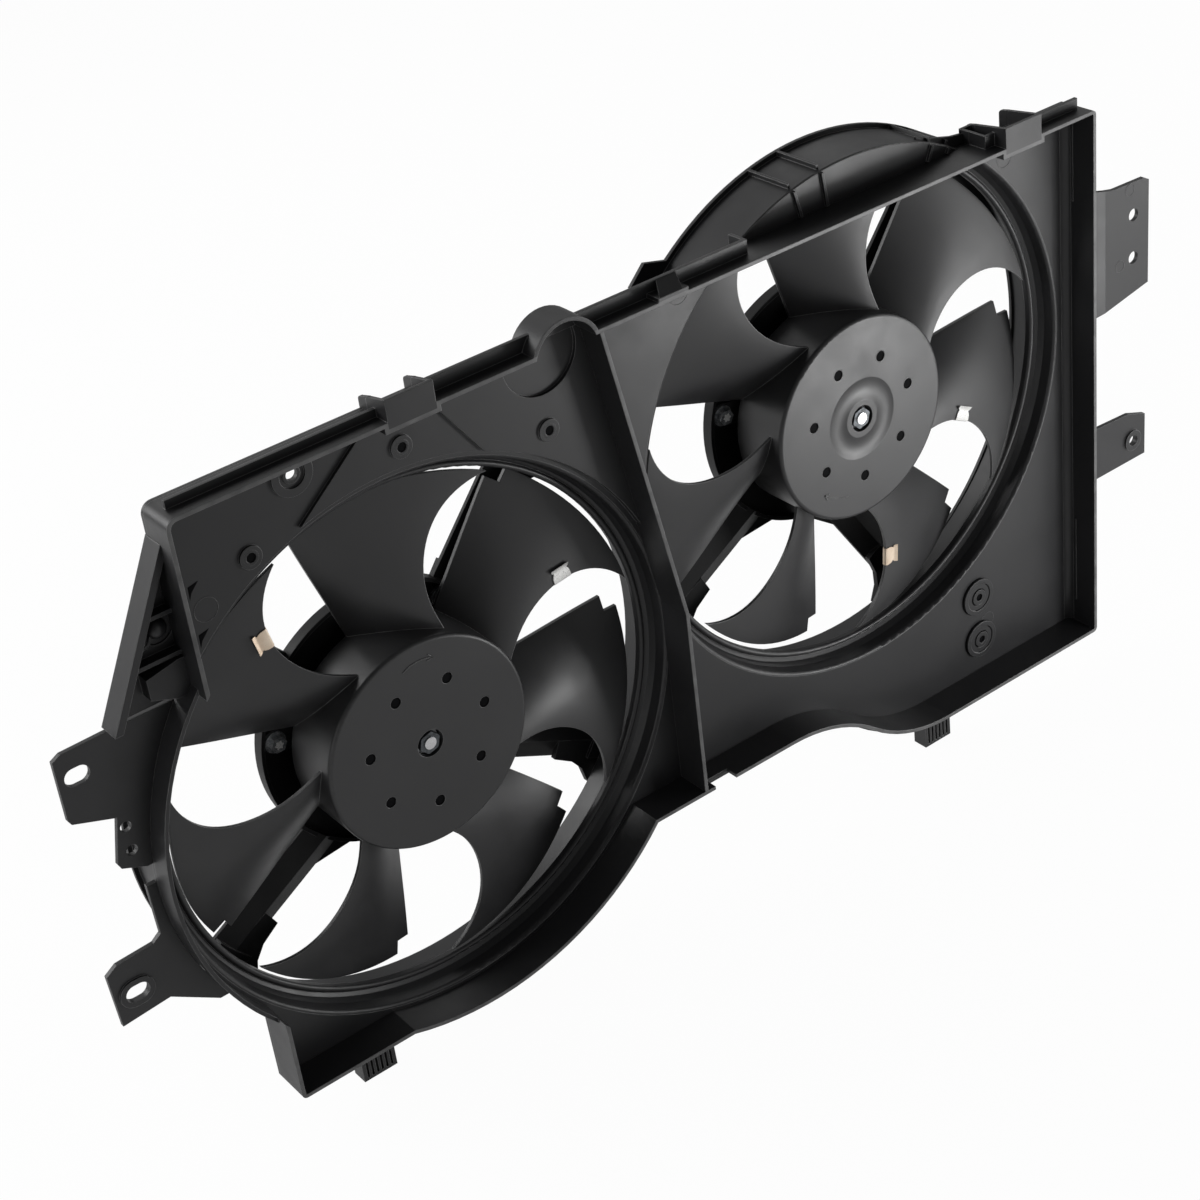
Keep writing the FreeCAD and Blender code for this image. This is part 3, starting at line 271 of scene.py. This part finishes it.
def rounded_normal(tree, radius):
    node = tree.nodes.new("ShaderNodeBevel")
    node.samples = BEVEL_SAMPLES
    node.inputs["Radius"].default_value = radius
    return node.outputs["Normal"]


def object_coords(tree):
    return tree.nodes.new("ShaderNodeTexCoord").outputs["Object"]


def edge_mask(tree, rounded):
    """1 on the mesh's corners, 0 on its flat faces: how far the rounded normal turns away."""
    flat = tree.nodes.new("ShaderNodeNewGeometry").outputs["Normal"]
    dot = tree.nodes.new("ShaderNodeVectorMath")
    dot.operation = "DOT_PRODUCT"
    tree.links.new(flat, dot.inputs[0])
    tree.links.new(rounded, dot.inputs[1])
    away = tree.nodes.new("ShaderNodeMapRange")
    away.inputs["From Min"].default_value = 1.0 - EDGE_START
    away.inputs["From Max"].default_value = 1.0 - EDGE_END
    tree.links.new(dot.outputs["Value"], away.inputs["Value"])
    return away.outputs[0]


def front_highlight_mask(tree, coords):
    """FRONT_HIGHLIGHT on the narrow front faces of the tray's walls, which lie on the radiator:
    there the painted highlight makes them paler.
    """
    apart = tree.nodes.new("ShaderNodeSeparateXYZ")
    tree.links.new(coords, apart.inputs[0])
    x, y, z = (apart.outputs[axis] for axis in "XYZ")
    near = calculate(tree, "LESS_THAN", y, FRONT_DEPTH - ORIGIN.y)
    under = calculate(tree, "LESS_THAN", z, FRONT_TOP - ORIGIN.z)
    share = calculate(tree, "MULTIPLY", near, under)
    for middle in CLIP_MIDDLES:
        beside = calculate(tree, "COMPARE", x, middle - ORIGIN.x, CLIP_HALF)
        above = calculate(tree, "GREATER_THAN", z, CLIP_FOOT - ORIGIN.z)
        clip = calculate(tree, "MULTIPLY", beside, above)
        share = calculate(tree, "SUBTRACT", share, clip, clamp=True)
    return calculate(tree, "MULTIPLY", share, FRONT_HIGHLIGHT)


def moulded_plastic(name, dark, light, rough, grain, level=0.5, edge=PLASTIC_EDGE, rim=0.16,
                    front=False):
    """Moulding with a fine eroded grain, slow flow marks and a painted highlight that makes its
    edges paler.
    """
    mat, tree, bsdf = shader_tree(name)
    link = tree.links.new
    coords = object_coords(tree)
    flow = noise(tree, coords, FLOW_SCALE, 2.0)
    fine = noise(tree, coords, grain, 2.0, 0.6)
    rounded = rounded_normal(tree, edge)
    # Painted highlight: the base colour turns to a grey between half of rim and rim on the edges
    edge_highlight = edge_mask(tree, rounded)
    # With front, the painted highlight also covers the walls' front faces
    if front:
        edge_highlight = calculate(tree, "MAXIMUM", edge_highlight, front_highlight_mask(tree, coords))
    highlight_mix = tree.nodes.new("ShaderNodeMix")
    highlight_mix.data_type = "RGBA"
    # A Mix node's colour sockets: 0 is the factor, 6 and 7 the colours, output 2 the result
    link(edge_highlight, highlight_mix.inputs[0])
    link(ramp(tree, flow, dark, light), highlight_mix.inputs[6])
    highlight_colour = ramp(tree, noise(tree, coords, HIGHLIGHT_SCALE), (rim * 0.5,) * 3, (rim,) * 3)
    link(highlight_colour, highlight_mix.inputs[7])
    link(highlight_mix.outputs[2], bsdf.inputs["Base Color"])
    gloss = spread(tree, noise(tree, coords, GLOSS_SCALE), rough - 0.05, rough + 0.05)
    link(gloss, bsdf.inputs["Roughness"])
    bsdf.inputs["Specular IOR Level"].default_value = level
    soft = bump(tree, flow, 0.12, 0.004, rounded)
    link(bump(tree, fine, 0.25, 0.00012, soft), bsdf.inputs["Normal"])
    return mat


def metal(name, dark, light, rough, scale, strength=0.2, metallic=1.0):
    """Metal, or with metallic at 0 a coated or sintered one: cloudy colour and fine scratches."""
    mat, tree, bsdf = shader_tree(name)
    link = tree.links.new
    coords = object_coords(tree)
    cloud = noise(tree, coords, scale, 4.0)
    fine = noise(tree, coords, scale * 9.0, 3.0)
    link(ramp(tree, cloud, dark, light), bsdf.inputs["Base Color"])
    link(spread(tree, fine, rough - 0.07, rough + 0.07), bsdf.inputs["Roughness"])
    bsdf.inputs["Metallic"].default_value = metallic
    rounded = rounded_normal(tree, METAL_EDGE)
    link(bump(tree, fine, strength, 0.00006, rounded), bsdf.inputs["Normal"])
    return mat


# Dark and light colour of each plastic, then its roughness and grain; rim sets the grey of its
# painted edge highlight
PLASTICS = {
    "moulding": dict(dark=(0.012, 0.012, 0.013), light=(0.017, 0.017, 0.018), rough=0.42,
                     grain=2600.0, level=0.42, rim=0.24, front=True),
    # A darker, duller copy of the moulding: painted shade on the spiders deep inside the rings
    "painted_shade_moulding": dict(dark=(0.006, 0.006, 0.0065), light=(0.009, 0.009, 0.0095), rough=0.46,
                          grain=2600.0, level=0.22),
    # Near black without gloss: painted shade in holes, openings and grooves
    "painted_shade_black": dict(dark=(0.003, 0.003, 0.0035), light=(0.006, 0.006, 0.0065), rough=0.6,
                   grain=2600.0, level=0.03, rim=0.006),
    "fan_plastic": dict(dark=(0.019, 0.019, 0.02), light=(0.026, 0.026, 0.027), rough=0.40,
                        grain=2200.0, rim=0.3),
    "socket": dict(dark=(0.03, 0.03, 0.032), light=(0.042, 0.042, 0.045), rough=0.45,
                   grain=1800.0, edge=SMALL_EDGE),
    "holder_resin": dict(dark=(0.27, 0.2, 0.13), light=(0.36, 0.28, 0.18), rough=0.5,
                         grain=900.0, edge=SMALL_EDGE),
}

# Dark and light colour of each metal, then its roughness and the scale of its clouds
METALS = {
    "motor_case": dict(dark=(0.02, 0.02, 0.021), light=(0.03, 0.03, 0.032), rough=0.42,
                       scale=60.0, strength=0.3, metallic=0.0),
    "bearing_steel": dict(dark=(0.5, 0.5, 0.51), light=(0.66, 0.66, 0.67), rough=0.25,
                          scale=80.0),
    "ferrite": dict(dark=(0.05, 0.05, 0.055), light=(0.09, 0.09, 0.095), rough=0.6,
                    scale=300.0, strength=0.5, metallic=0.0),
    "carbon": dict(dark=(0.03, 0.03, 0.032), light=(0.06, 0.06, 0.062), rough=0.55,
                   scale=400.0, strength=0.4, metallic=0.0),
    "zinc_steel": dict(dark=(0.16, 0.17, 0.18), light=(0.5, 0.51, 0.52), rough=0.28,
                       scale=420.0, strength=0.3, metallic=0.7),
    "dark_nut": dict(dark=(0.03, 0.033, 0.036), light=(0.12, 0.13, 0.14), rough=0.3,
                     scale=420.0, strength=0.3, metallic=0.6),
    "spring_steel": dict(dark=(0.8, 0.79, 0.77), light=(0.9, 0.9, 0.88), rough=0.3,
                         scale=160.0, strength=0.25, metallic=0.35),
    "plated_clip": dict(dark=(0.72, 0.55, 0.4), light=(0.86, 0.72, 0.57), rough=0.34,
                        scale=160.0, strength=0.25, metallic=0.35),
    "lamination_steel": dict(dark=(0.28, 0.28, 0.3), light=(0.4, 0.4, 0.42), rough=0.4,
                             scale=300.0),
    "copper": dict(dark=(0.62, 0.32, 0.2), light=(0.78, 0.43, 0.28), rough=0.28, scale=200.0),
}

MATS = {name: moulded_plastic(name, **look) for name, look in PLASTICS.items()}
MATS.update({name: metal(name, **look) for name, look in METALS.items()})

# Looks by the last word of a node's name, where they differ from its slot; the spiders take a
# darker copy of the moulding as painted shade
NODE_LOOKS = {"spider": "painted_shade_moulding", "nut": "dark_nut"}
RING_CREASE, NODE_CREASE = 36, 28


def smooth(mesh, crease):
    """Smooth shading, with the edges kept sharp that bend more than crease degrees."""
    for poly in mesh.polygons:
        poly.use_smooth = True
    mesh.set_sharp_from_angle(angle=math.radians(crease))


def dress_cad_nodes():
    slots = {s["node"]: s["material_slot"] for s in frame["record"]["subparts"]}
    for name, obj in nodes.items():
        obj.data.materials.clear()
        obj.data.materials.append(MATS[NODE_LOOKS.get(name.split("_")[-1], slots[name])])
        smooth(obj.data, RING_CREASE if name.endswith("_ring") else NODE_CREASE)


# Pieces added to the CAD nodes, in tray millimetres

FLOOR_FACE = 25.0
BURIED = 0.2

HUB_FACE = 25.5
HUB_HOLES, HUB_HOLES_R, HUB_HOLES_PHASE, HUB_HOLE_R = 7, 41.9, 12.2, 3.5
HUB_HOLE_TOP, HUB_HOLE_BOTTOM = 0.6, 2.3
BLADES = 7
TIP_R = 165.7
ROOT_R = 68.5
BLADE_THICK = 2.4

SCREWS, SCREW_CIRCLE_R, SCREW_PHASE = 3, 76.5, 48.0
SCREW_FACE, SOCKET_RISE = 70.0, 0.12
LOBES, LOBE_R, LOBE_RISE, LOBE_POINTS = 6, 2.6, 0.5, 36

ARROW_WIDTH, ARROW_RISE, ARROW_BURIED = 0.75, 0.35, 0.1
BARB_BACK, BARB_SIDE = 3.4, 2.0
ARROW_PATHS = {
    "left": [(131.7, 229.5), (136.3, 231.6), (141.2, 232.2), (144.9, 232.2), (148.4, 231.6),
             (152.4, 230.4)],
    "right": [(477.6, 194.8), (474.1, 195.4), (470.8, 196.5), (466.4, 198.4), (461.9, 201.0),
              (457.9, 203.9)],
}

# Fan, name, blade, place along the blade's leading edge and slot of each balance clip
CLIPS = (("left", "tall", 3, 0.68, "plated_clip"), ("left", "short", 1, 0.62, "spring_steel"),
         ("right", "tall", 0, 0.44, "spring_steel"), ("right", "short", 6, 0.59, "plated_clip"))
CLIP_CREASE = 35.0

# Outer and inner line of the clips' folded sheet (inwards from the blade's edge, out of the
# blade), and half the clip's length there
CLIP_LINE = (
    (9.3, 3.5, 9.3, 2.9, 6.5), (7.9, 2.5, 8.1, 1.9, 6.5), (7.0, 2.1, 7.0, 1.5, 6.1),
    (6.5, 2.0, 6.5, 1.4, 5.1), (5.8, 2.0, 5.8, 1.4, 5.0), (5.1, 2.0, 5.1, 1.4, 5.7),
    (3.2, 2.0, 3.2, 1.4, 6.4), (0.4, 2.0, 0.4, 1.4, 6.5), (-0.8, 1.4, -0.4, 0.9, 6.5),
    (-1.2, 0.0, -0.6, 0.0, 6.5), (-0.8, -1.4, -0.4, -0.9, 6.5), (0.4, -2.0, 0.4, -1.4, 6.5),
    (8.0, -2.0, 8.0, -1.4, 6.5))

# Place and radius of each ejector mark
MOULD_MARKS = ((356.5, 386.5, 7.5), (627.1, 380.1, 6.5), (22.0, 326.0, 7.5), (746.3, 317.1, 4.5),
               (736.5, 264.0, 4.5), (150.0, 386.0, 6.0), (600.0, 40.0, 6.0))
MARK_RISE, MARK_WIDTH = 0.1, 0.4

RIGHT_WALL, WALL_CORNER_R, WALL_ENDS = 683.1, 5.0, (2.6, 397.4)
WALL_BURIED, RIB_RISE, RIB_HALF = 0.3, 0.7, 0.6
# Depth, foot and top of each short rib on the right wall
WALL_RIBS = ((18.0, 333.0, 397.0), (17.4, 21.0, 89.0))

# Place of each boss and its step, in units of BOSS_STEP above the floor
BOSSES = ((53.5, 344.4, 0), (154.5, 370.2, 1), (250.2, 341.5, 2))
BOSS_STEP = 2.5
PADS = ((590.6, 63.8), (591.9, 27.9))
# Outer and inner radius and face of each ring on a pad
PAD_RINGS = ((14.0, 10.6, 22.9), (10.8, 6.4, 23.42), (6.0, 2.7, 22.7))
# Radius, first and last angle, width and face of each painted shadow line between them
PAD_SHADES = ((14.1, 75, 250, 0.5, 24.6), (10.3, 50, -110, 0.55, 23.25),
              (6.3, 100, 235, 0.8, 23.25))

CATCH_TIPS = ((21.2, 344.6), (21.0, 314.4))
CATCH_CORNERS = ((0.0, 0.0), (-6.6, -1.4), (-6.9, -9.4), (-5.2, -5.4))
CATCH_FACE, CATCH_BACK = 24.85, 25.3

# Left side, front, back and top of each clip's fins, and how far their back edge is lower
FINS = ((137.0, 17.0, 28.2, 410.0, 2.4), (166.5, 17.0, 28.2, 410.0, 2.4),
        (604.0, 27.0, 35.0, 409.8, 1.0), (633.5, 27.0, 35.0, 409.8, 1.0),
        (595.7, 24.0, 33.0, 408.4, 0.0))
FIN_WIDTH, FIN_FOOT, FIN_CORNER_R = 2.0, 397.0, 3.0
FIN_BACK = [(595.7, 397.5), (604.2, 397.5), (604.2, 408.4), (595.7, 408.4)]
CLIP_WEB = [(556.0, 397.5), (597.0, 397.5), (597.0, 405.6), (586.0, 407.0), (569.0, 411.5),
            (556.0, 416.5)]

# Depth and height of the bridge's section, and where its sides stand at the front and the back
BRIDGE_SECTION = ((0.05, 400.0), (0.05, 402.55), (11.2, 408.8), (11.2, 400.0))
BRIDGE_SIDES, BRIDGE_DEPTH = ((324.5, 331.0), (341.5, 345.5)), 11.0

# Angle and inner radius along the right ring's rear lip
REAR_LIP = ((-62, 177.2), (-35, 176.2), (-10, 175.6), (22, 175.6), (28, 174.4), (36, 170.6),
            (42, 168.4), (50, 167.2), (70, 167.2), (82, 171.0), (92, 177.2))
FLANGE_R = 177.8

POCKET_BOSS = (-8.5, 329.5)
POCKET_BOSS_R, POCKET_DOME, POCKET_FACE = 6.0, 5.0, 24.0
AXIS_R = 0.05


def finish_piece(name, bm, body, slot, replaced=(), crease=30.0, look=None):
    """Turn a finished mesh into a piece that rides on a body."""
    bmesh.ops.remove_doubles(bm, verts=bm.verts, dist=1e-6)
    bmesh.ops.recalc_face_normals(bm, faces=bm.faces)
    mesh = bpy.data.meshes.new(name)
    bm.to_mesh(mesh)
    bm.free()
    mesh.materials.append(MATS[look or slot])
    smooth(mesh, crease)
    obj = add_object(name, mesh)
    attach(obj, body)
    if replaced:
        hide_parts(*replaced)


def full_turn(count):
    return [2 * math.pi * i / count for i in range(count)]


def quarter_turn(count):
    return [math.pi / 2 * i / count for i in range(count + 1)]


def around(x, z, radius, angles):
    """Places (x, z) on a circle."""
    return [(x + radius * math.cos(a), z + radius * math.sin(a)) for a in angles]


def add_loop(bm, points):
    return [bm.verts.new(p) for p in points]


def skin(bm, first, second):
    count = len(first)
    for i in range(count):
        j = (i + 1) % count
        bm.faces.new((first[i], first[j], second[j], second[i]))


def tunnel(bm, loops):
    """A closed body through several loops of points."""
    rows = [add_loop(bm, loop) for loop in loops]
    for a, b in zip(rows, rows[1:]):
        skin(bm, a, b)
    bm.faces.new(rows[0])
    bm.faces.new(list(reversed(rows[-1])))


def plate(bm, corners, y0, y1):
    """A plate between two depths from its (x, z) corners."""
    tunnel(bm, [[at(x, y, z) for x, z in corners] for y in (y0, y1)])


def lathe(bm, x, z, profile, count=48):
    """A turned ring about an axis along Y, from its closed (radius, depth) profile."""
    rows = []
    for a in full_turn(count):
        c, s = math.cos(a), math.sin(a)
        rows.append(add_loop(bm, [at(x + r * c, y, z + r * s) for r, y in profile]))
    for k in range(count):
        skin(bm, rows[k], rows[(k + 1) % count])


def strip(bm, path, width, y0, y1):
    """A raised line of even width along (x, z) points."""
    sides = []
    for i, (x, z) in enumerate(path):
        before, after = path[max(0, i - 1)], path[min(len(path) - 1, i + 1)]
        dx, dz = after[0] - before[0], after[1] - before[1]
        half = width / 2 / math.hypot(dx, dz)
        sides.append(((x - dz * half, z + dx * half), (x + dz * half, z - dx * half)))
    for (a, b), (c, d) in zip(sides, sides[1:]):
        plate(bm, [a, c, d, b], y0, y1)


def disc(bm, x, z, radius, y0, y1):
    """A flat round plug with its face at y0."""
    plate(bm, around(x, z, radius, full_turn(32)), y0, y1)


def washer(bm, x, z, outer, inner, y0, y1):
    """A flat ring with its face at y0 and both corners of that face broken."""
    lathe(bm, x, z, [(outer, y1), (outer, y0 + 0.25), (outer - 0.25, y0), (inner + 0.25, y0),
                     (inner, y0 + 0.25), (inner, y1)])


def fin(bm, x, y0, y1, high, slope):
    """An upright plate across the wall whose upper back corner is rounded."""
    arc = [(y1 - FIN_CORNER_R * (1 - math.cos(a)), high - slope - FIN_CORNER_R * (1 - math.sin(a)))
           for a in quarter_turn(6)]
    outline = [(y0, FIN_FOOT), (y1, FIN_FOOT), *arc, (y0, high)]
    tunnel(bm, [[at(px, y, z) for y, z in outline] for px in (x, x + FIN_WIDTH)])


def add_arrows():
    """Raised arrows on both hubs that show the fans' turning direction."""
    for side, path in ARROW_PATHS.items():
        (ex, ez), tip = path[-2:]
        size = math.hypot(tip[0] - ex, tip[1] - ez)
        dx, dz = (tip[0] - ex) / size, (tip[1] - ez) / size
        lines = [path]
        for turn in (-1, 1):
            barb = (tip[0] - dx * BARB_BACK - turn * dz * BARB_SIDE,
                    tip[1] - dz * BARB_BACK + turn * dx * BARB_SIDE)
            lines.append([tip, barb])
        bm = bmesh.new()
        for line in lines:
            strip(bm, line, ARROW_WIDTH, HUB_FACE - ARROW_RISE, HUB_FACE + ARROW_BURIED)
        finish_piece(side + "_arrow", bm, side + "_rotor", "fan_plastic")


def blade_point(s, c):
    """Front side of a blade about the fan's axis: s from hub to tip, c from the leading edge.

    The numbers are the angles, in degrees, and the depths of the CAD blade's two edges."""
    radius = ROOT_R + (TIP_R - ROOT_R) * s
    t = (radius - ROOT_R + 0.5) / (TIP_R - ROOT_R + 0.8)
    lead = -37.07 + 75.25 * t - 168.66 * t ** 2 + 167.53 * t ** 3 - 77.07 * t ** 4
    trail = 3.41 + 3.59 * t - 2.03 * t ** 2
    lead_y = HUB_FACE + 7.85 + 17.8 * t - 12.54 * t ** 2
    trail_y = HUB_FACE + 40.5 - 5.55 * t
    lift = c - 0.72 * c * (1 - c)
    turn = math.radians(lead + (trail - lead) * c)
    depth = lead_y + (trail_y - lead_y) * lift
    return Vector((radius * math.cos(turn), depth, radius * math.sin(turn)))


def add_clips():
    """Spring clips folded over the blades' leading edges, with a flared lip and a narrow waist."""
    for side, place, blade, s, slot in CLIPS:
        edge = blade_point(s, 0.0)
        inside = (blade_point(s, 0.12) - edge).normalized()
        span = (blade_point(s + 0.04, 0.0) - blade_point(s - 0.04, 0.0)).normalized()
        inside = (inside - span * span.dot(inside)).normalized()
        out = inside.cross(span)
        if out.y > 0:
            out = -out
        middle = edge + Vector((0.0, BLADE_THICK / 2, 0.0))
        turn = Matrix.Rotation(-2 * math.pi * blade / BLADES, 3, "Y")
        hub = FANS[side] * 1000

        def spot(a, n, b):
            p = turn @ (middle + inside * a + out * n + span * b)
            return at(hub.x + p.x, p.y, hub.z + p.z)

        bm = bmesh.new()
        tunnel(bm, [[spot(a, n, -half), spot(a, n, half), spot(c, m, half), spot(c, m, -half)]
                    for a, n, c, m, half in CLIP_LINE])
        finish_piece(side + "_clip_" + place, bm, side + "_rotor", slot,
                     [side + "_balance_clip_" + place], CLIP_CREASE)


def add_socket_glints():
    """Painted glint: bright six-lobed plates, shaped like the recesses, on the heads of the motor
    screws.
    """
    for side, hub in FANS.items():
        bm = bmesh.new()
        for k in range(SCREWS):
            turn = math.radians(SCREW_PHASE + 360.0 / SCREWS * k)
            x = hub.x * 1000 + SCREW_CIRCLE_R * math.cos(turn)
            z = hub.z * 1000 + SCREW_CIRCLE_R * math.sin(turn)
            lobes = []
            for a in full_turn(LOBE_POINTS):
                lobes += around(x, z, LOBE_R + LOBE_RISE * math.cos(LOBES * a), [a])
            plate(bm, lobes, SCREW_FACE - SOCKET_RISE, SCREW_FACE + BURIED)
        # The bright steel look makes the painted glint
        finish_piece(side + "_socket_glints", bm, "shroud", "zinc_steel", look="spring_steel")


def add_mould_marks():
    """Faint round ejector marks on the floor and the upper right bracket."""
    bm = bmesh.new()
    back, front = FLOOR_FACE + BURIED, FLOOR_FACE - MARK_RISE
    for x, z, radius in MOULD_MARKS:
        lathe(bm, x, z, [(radius, back), (radius, front), (radius - MARK_WIDTH, front),
                         (radius - MARK_WIDTH, back)])
    finish_piece("mould_marks", bm, "shroud", "moulding")


def add_wall_details():
    """Rounded corner and two short ribs inside the right wall."""
    start = FLOOR_FACE - WALL_CORNER_R
    arc = [(RIGHT_WALL - WALL_CORNER_R * (1 - math.sin(a)),
            FLOOR_FACE - WALL_CORNER_R * (1 - math.cos(a))) for a in quarter_turn(8)]
    back = FLOOR_FACE + WALL_BURIED
    inside = RIGHT_WALL + WALL_BURIED
    section = [(inside, start), *reversed(arc), (RIGHT_WALL - WALL_CORNER_R, back),
               (inside, back)]
    bm = bmesh.new()
    tunnel(bm, [[at(x, y, z) for x, y in section] for z in WALL_ENDS])
    for y, low, high in WALL_RIBS:
        corners = [(RIGHT_WALL - RIB_RISE, low), (inside, low), (inside, high),
                   (RIGHT_WALL - RIB_RISE, high)]
        plate(bm, corners, y - RIB_HALF, y + RIB_HALF)
    finish_piece("right_wall_corner", bm, "shroud", "moulding")


def add_boss_centres():
    """Smooth collars of the three bosses and the two pads' wide rings, with dark discs of painted
    shade in their screw holes and painted shadow arcs along the pads' rings.
    """
    collars, holes = bmesh.new(), bmesh.new()
    for x, z, step in BOSSES:
        face = FLOOR_FACE - BOSS_STEP * step
        washer(collars, x, z, 4.9, 2.9, face - 1.55, face + BURIED)
        # Painted shade: a dark disc in each boss's screw hole
        disc(holes, x, z, 3.1, face - 0.9, face + BURIED)
    back = FLOOR_FACE + BURIED
    for x, z in PADS:
        for outer, inner, face in PAD_RINGS:
            washer(collars, x, z, outer, inner, face, back)
        # Painted shade: a dark disc in each pad's hole
        disc(holes, x, z, 2.9, 23.9, back)
        # Painted shadow: dark arcs along the pads' rings
        for radius, first, last, width, face in PAD_SHADES:
            angles = [math.radians(first + (last - first) * i / 24) for i in range(25)]
            strip(holes, around(x, z, radius, angles), width, face, back)
    finish_piece("boss_collars", collars, "shroud", "moulding")
    finish_piece("boss_hole_shades", holes, "shroud", "moulding", look="painted_shade_black")


def add_catch_shades():
    """Two pointed dark plates of painted shade, nearly flush with the floor beside the left wall,
    that stand for the openings for the catches of the radiator's seal.
    """
    bm = bmesh.new()
    for x, z in CATCH_TIPS:
        corners = [(x + dx, z + dz) for dx, dz in CATCH_CORNERS]
        plate(bm, corners, CATCH_FACE, CATCH_BACK)
    finish_piece("seal_catch_shades", bm, "shroud", "moulding", look="painted_shade_black")


def add_clip_fins():
    """Longer rounded backs of the clips' side plates, and the web from right clip to fan ring."""
    bm = bmesh.new()
    for x, y0, y1, high, slope in FINS:
        fin(bm, x, y0, y1, high, slope)
    plate(bm, FIN_BACK, 31.0, 33.0)
    finish_piece("clip_fins", bm, "shroud", "moulding")
    bm = bmesh.new()
    plate(bm, CLIP_WEB, 30.0, 32.0)
    finish_piece("clip_web", bm, "shroud", "moulding")


def add_lip_bridge():
    """Sloped bridge that closes the channel between rim and seal lip beside the divider."""
    bm = bmesh.new()
    tunnel(bm, [[at(x + (far - x) * y / BRIDGE_DEPTH, y, z) for y, z in BRIDGE_SECTION]
                for x, far in BRIDGE_SIDES])
    finish_piece("lip_bridge", bm, "shroud", "moulding")


def add_hub_hole_shades():
    """Painted shade: dark plugs at the bottoms of the seven blind holes in each hub."""
    for side, hub in FANS.items():
        bm = bmesh.new()
        for k in range(HUB_HOLES):
            turn = math.radians(HUB_HOLES_PHASE + 360.0 * k / HUB_HOLES)
            x = hub.x * 1000 + HUB_HOLES_R * math.cos(turn)
            z = hub.z * 1000 + HUB_HOLES_R * math.sin(turn)
            disc(bm, x, z, HUB_HOLE_R, HUB_FACE + HUB_HOLE_TOP, HUB_FACE + HUB_HOLE_BOTTOM)
        finish_piece(side + "_hub_hole_shades", bm, side + "_rotor", "fan_plastic", look="painted_shade_black")


def add_rear_lip():
    """Narrow lip inside the right ring's flange, widest at the upper right."""
    x, z = RIGHT.x * 1000, RIGHT.z * 1000
    loops = []
    for degrees in range(REAR_LIP[0][0], REAR_LIP[-1][0] + 1, 2):
        for (a, low), (b, high) in zip(REAR_LIP, REAR_LIP[1:]):
            if a <= degrees <= b:
                radius = low + (high - low) * (degrees - a) / (b - a)
        c, s = math.cos(math.radians(degrees)), math.sin(math.radians(degrees))
        section = ((FLANGE_R, 63.0), (radius, 63.2), (radius, 65.4), (FLANGE_R, 65.5))
        loops.append([at(x + r * c, y, z + r * s) for r, y in section])
    bm = bmesh.new()
    tunnel(bm, loops)
    finish_piece("right_rear_lip", bm, "shroud", "moulding")


def add_pocket_boss():
    """Domed boss on a round base, inside the pocket beside the left wall."""
    bm = bmesh.new()
    back = FLOOR_FACE + BURIED
    dome = [(max(AXIS_R, POCKET_BOSS_R * math.cos(a)), POCKET_FACE - POCKET_DOME * math.sin(a))
            for a in quarter_turn(6)]
    lathe(bm, *POCKET_BOSS, [(AXIS_R, back), (POCKET_BOSS_R, back), *dome], 32)
    washer(bm, *POCKET_BOSS, 11.0, 9.8, POCKET_FACE, back)
    finish_piece("pocket_boss", bm, "shroud", "moulding")


bpy.context.scene.view_settings.view_transform = "Standard"
make_camera()
make_world()
make_floor()
make_lights()
dress_cad_nodes()
add_arrows()
add_clips()
add_socket_glints()
add_mould_marks()
add_wall_details()
add_boss_centres()
add_catch_shades()
add_clip_fins()
add_lip_bridge()
add_hub_hole_shades()
add_rear_lip()
add_pocket_boss()
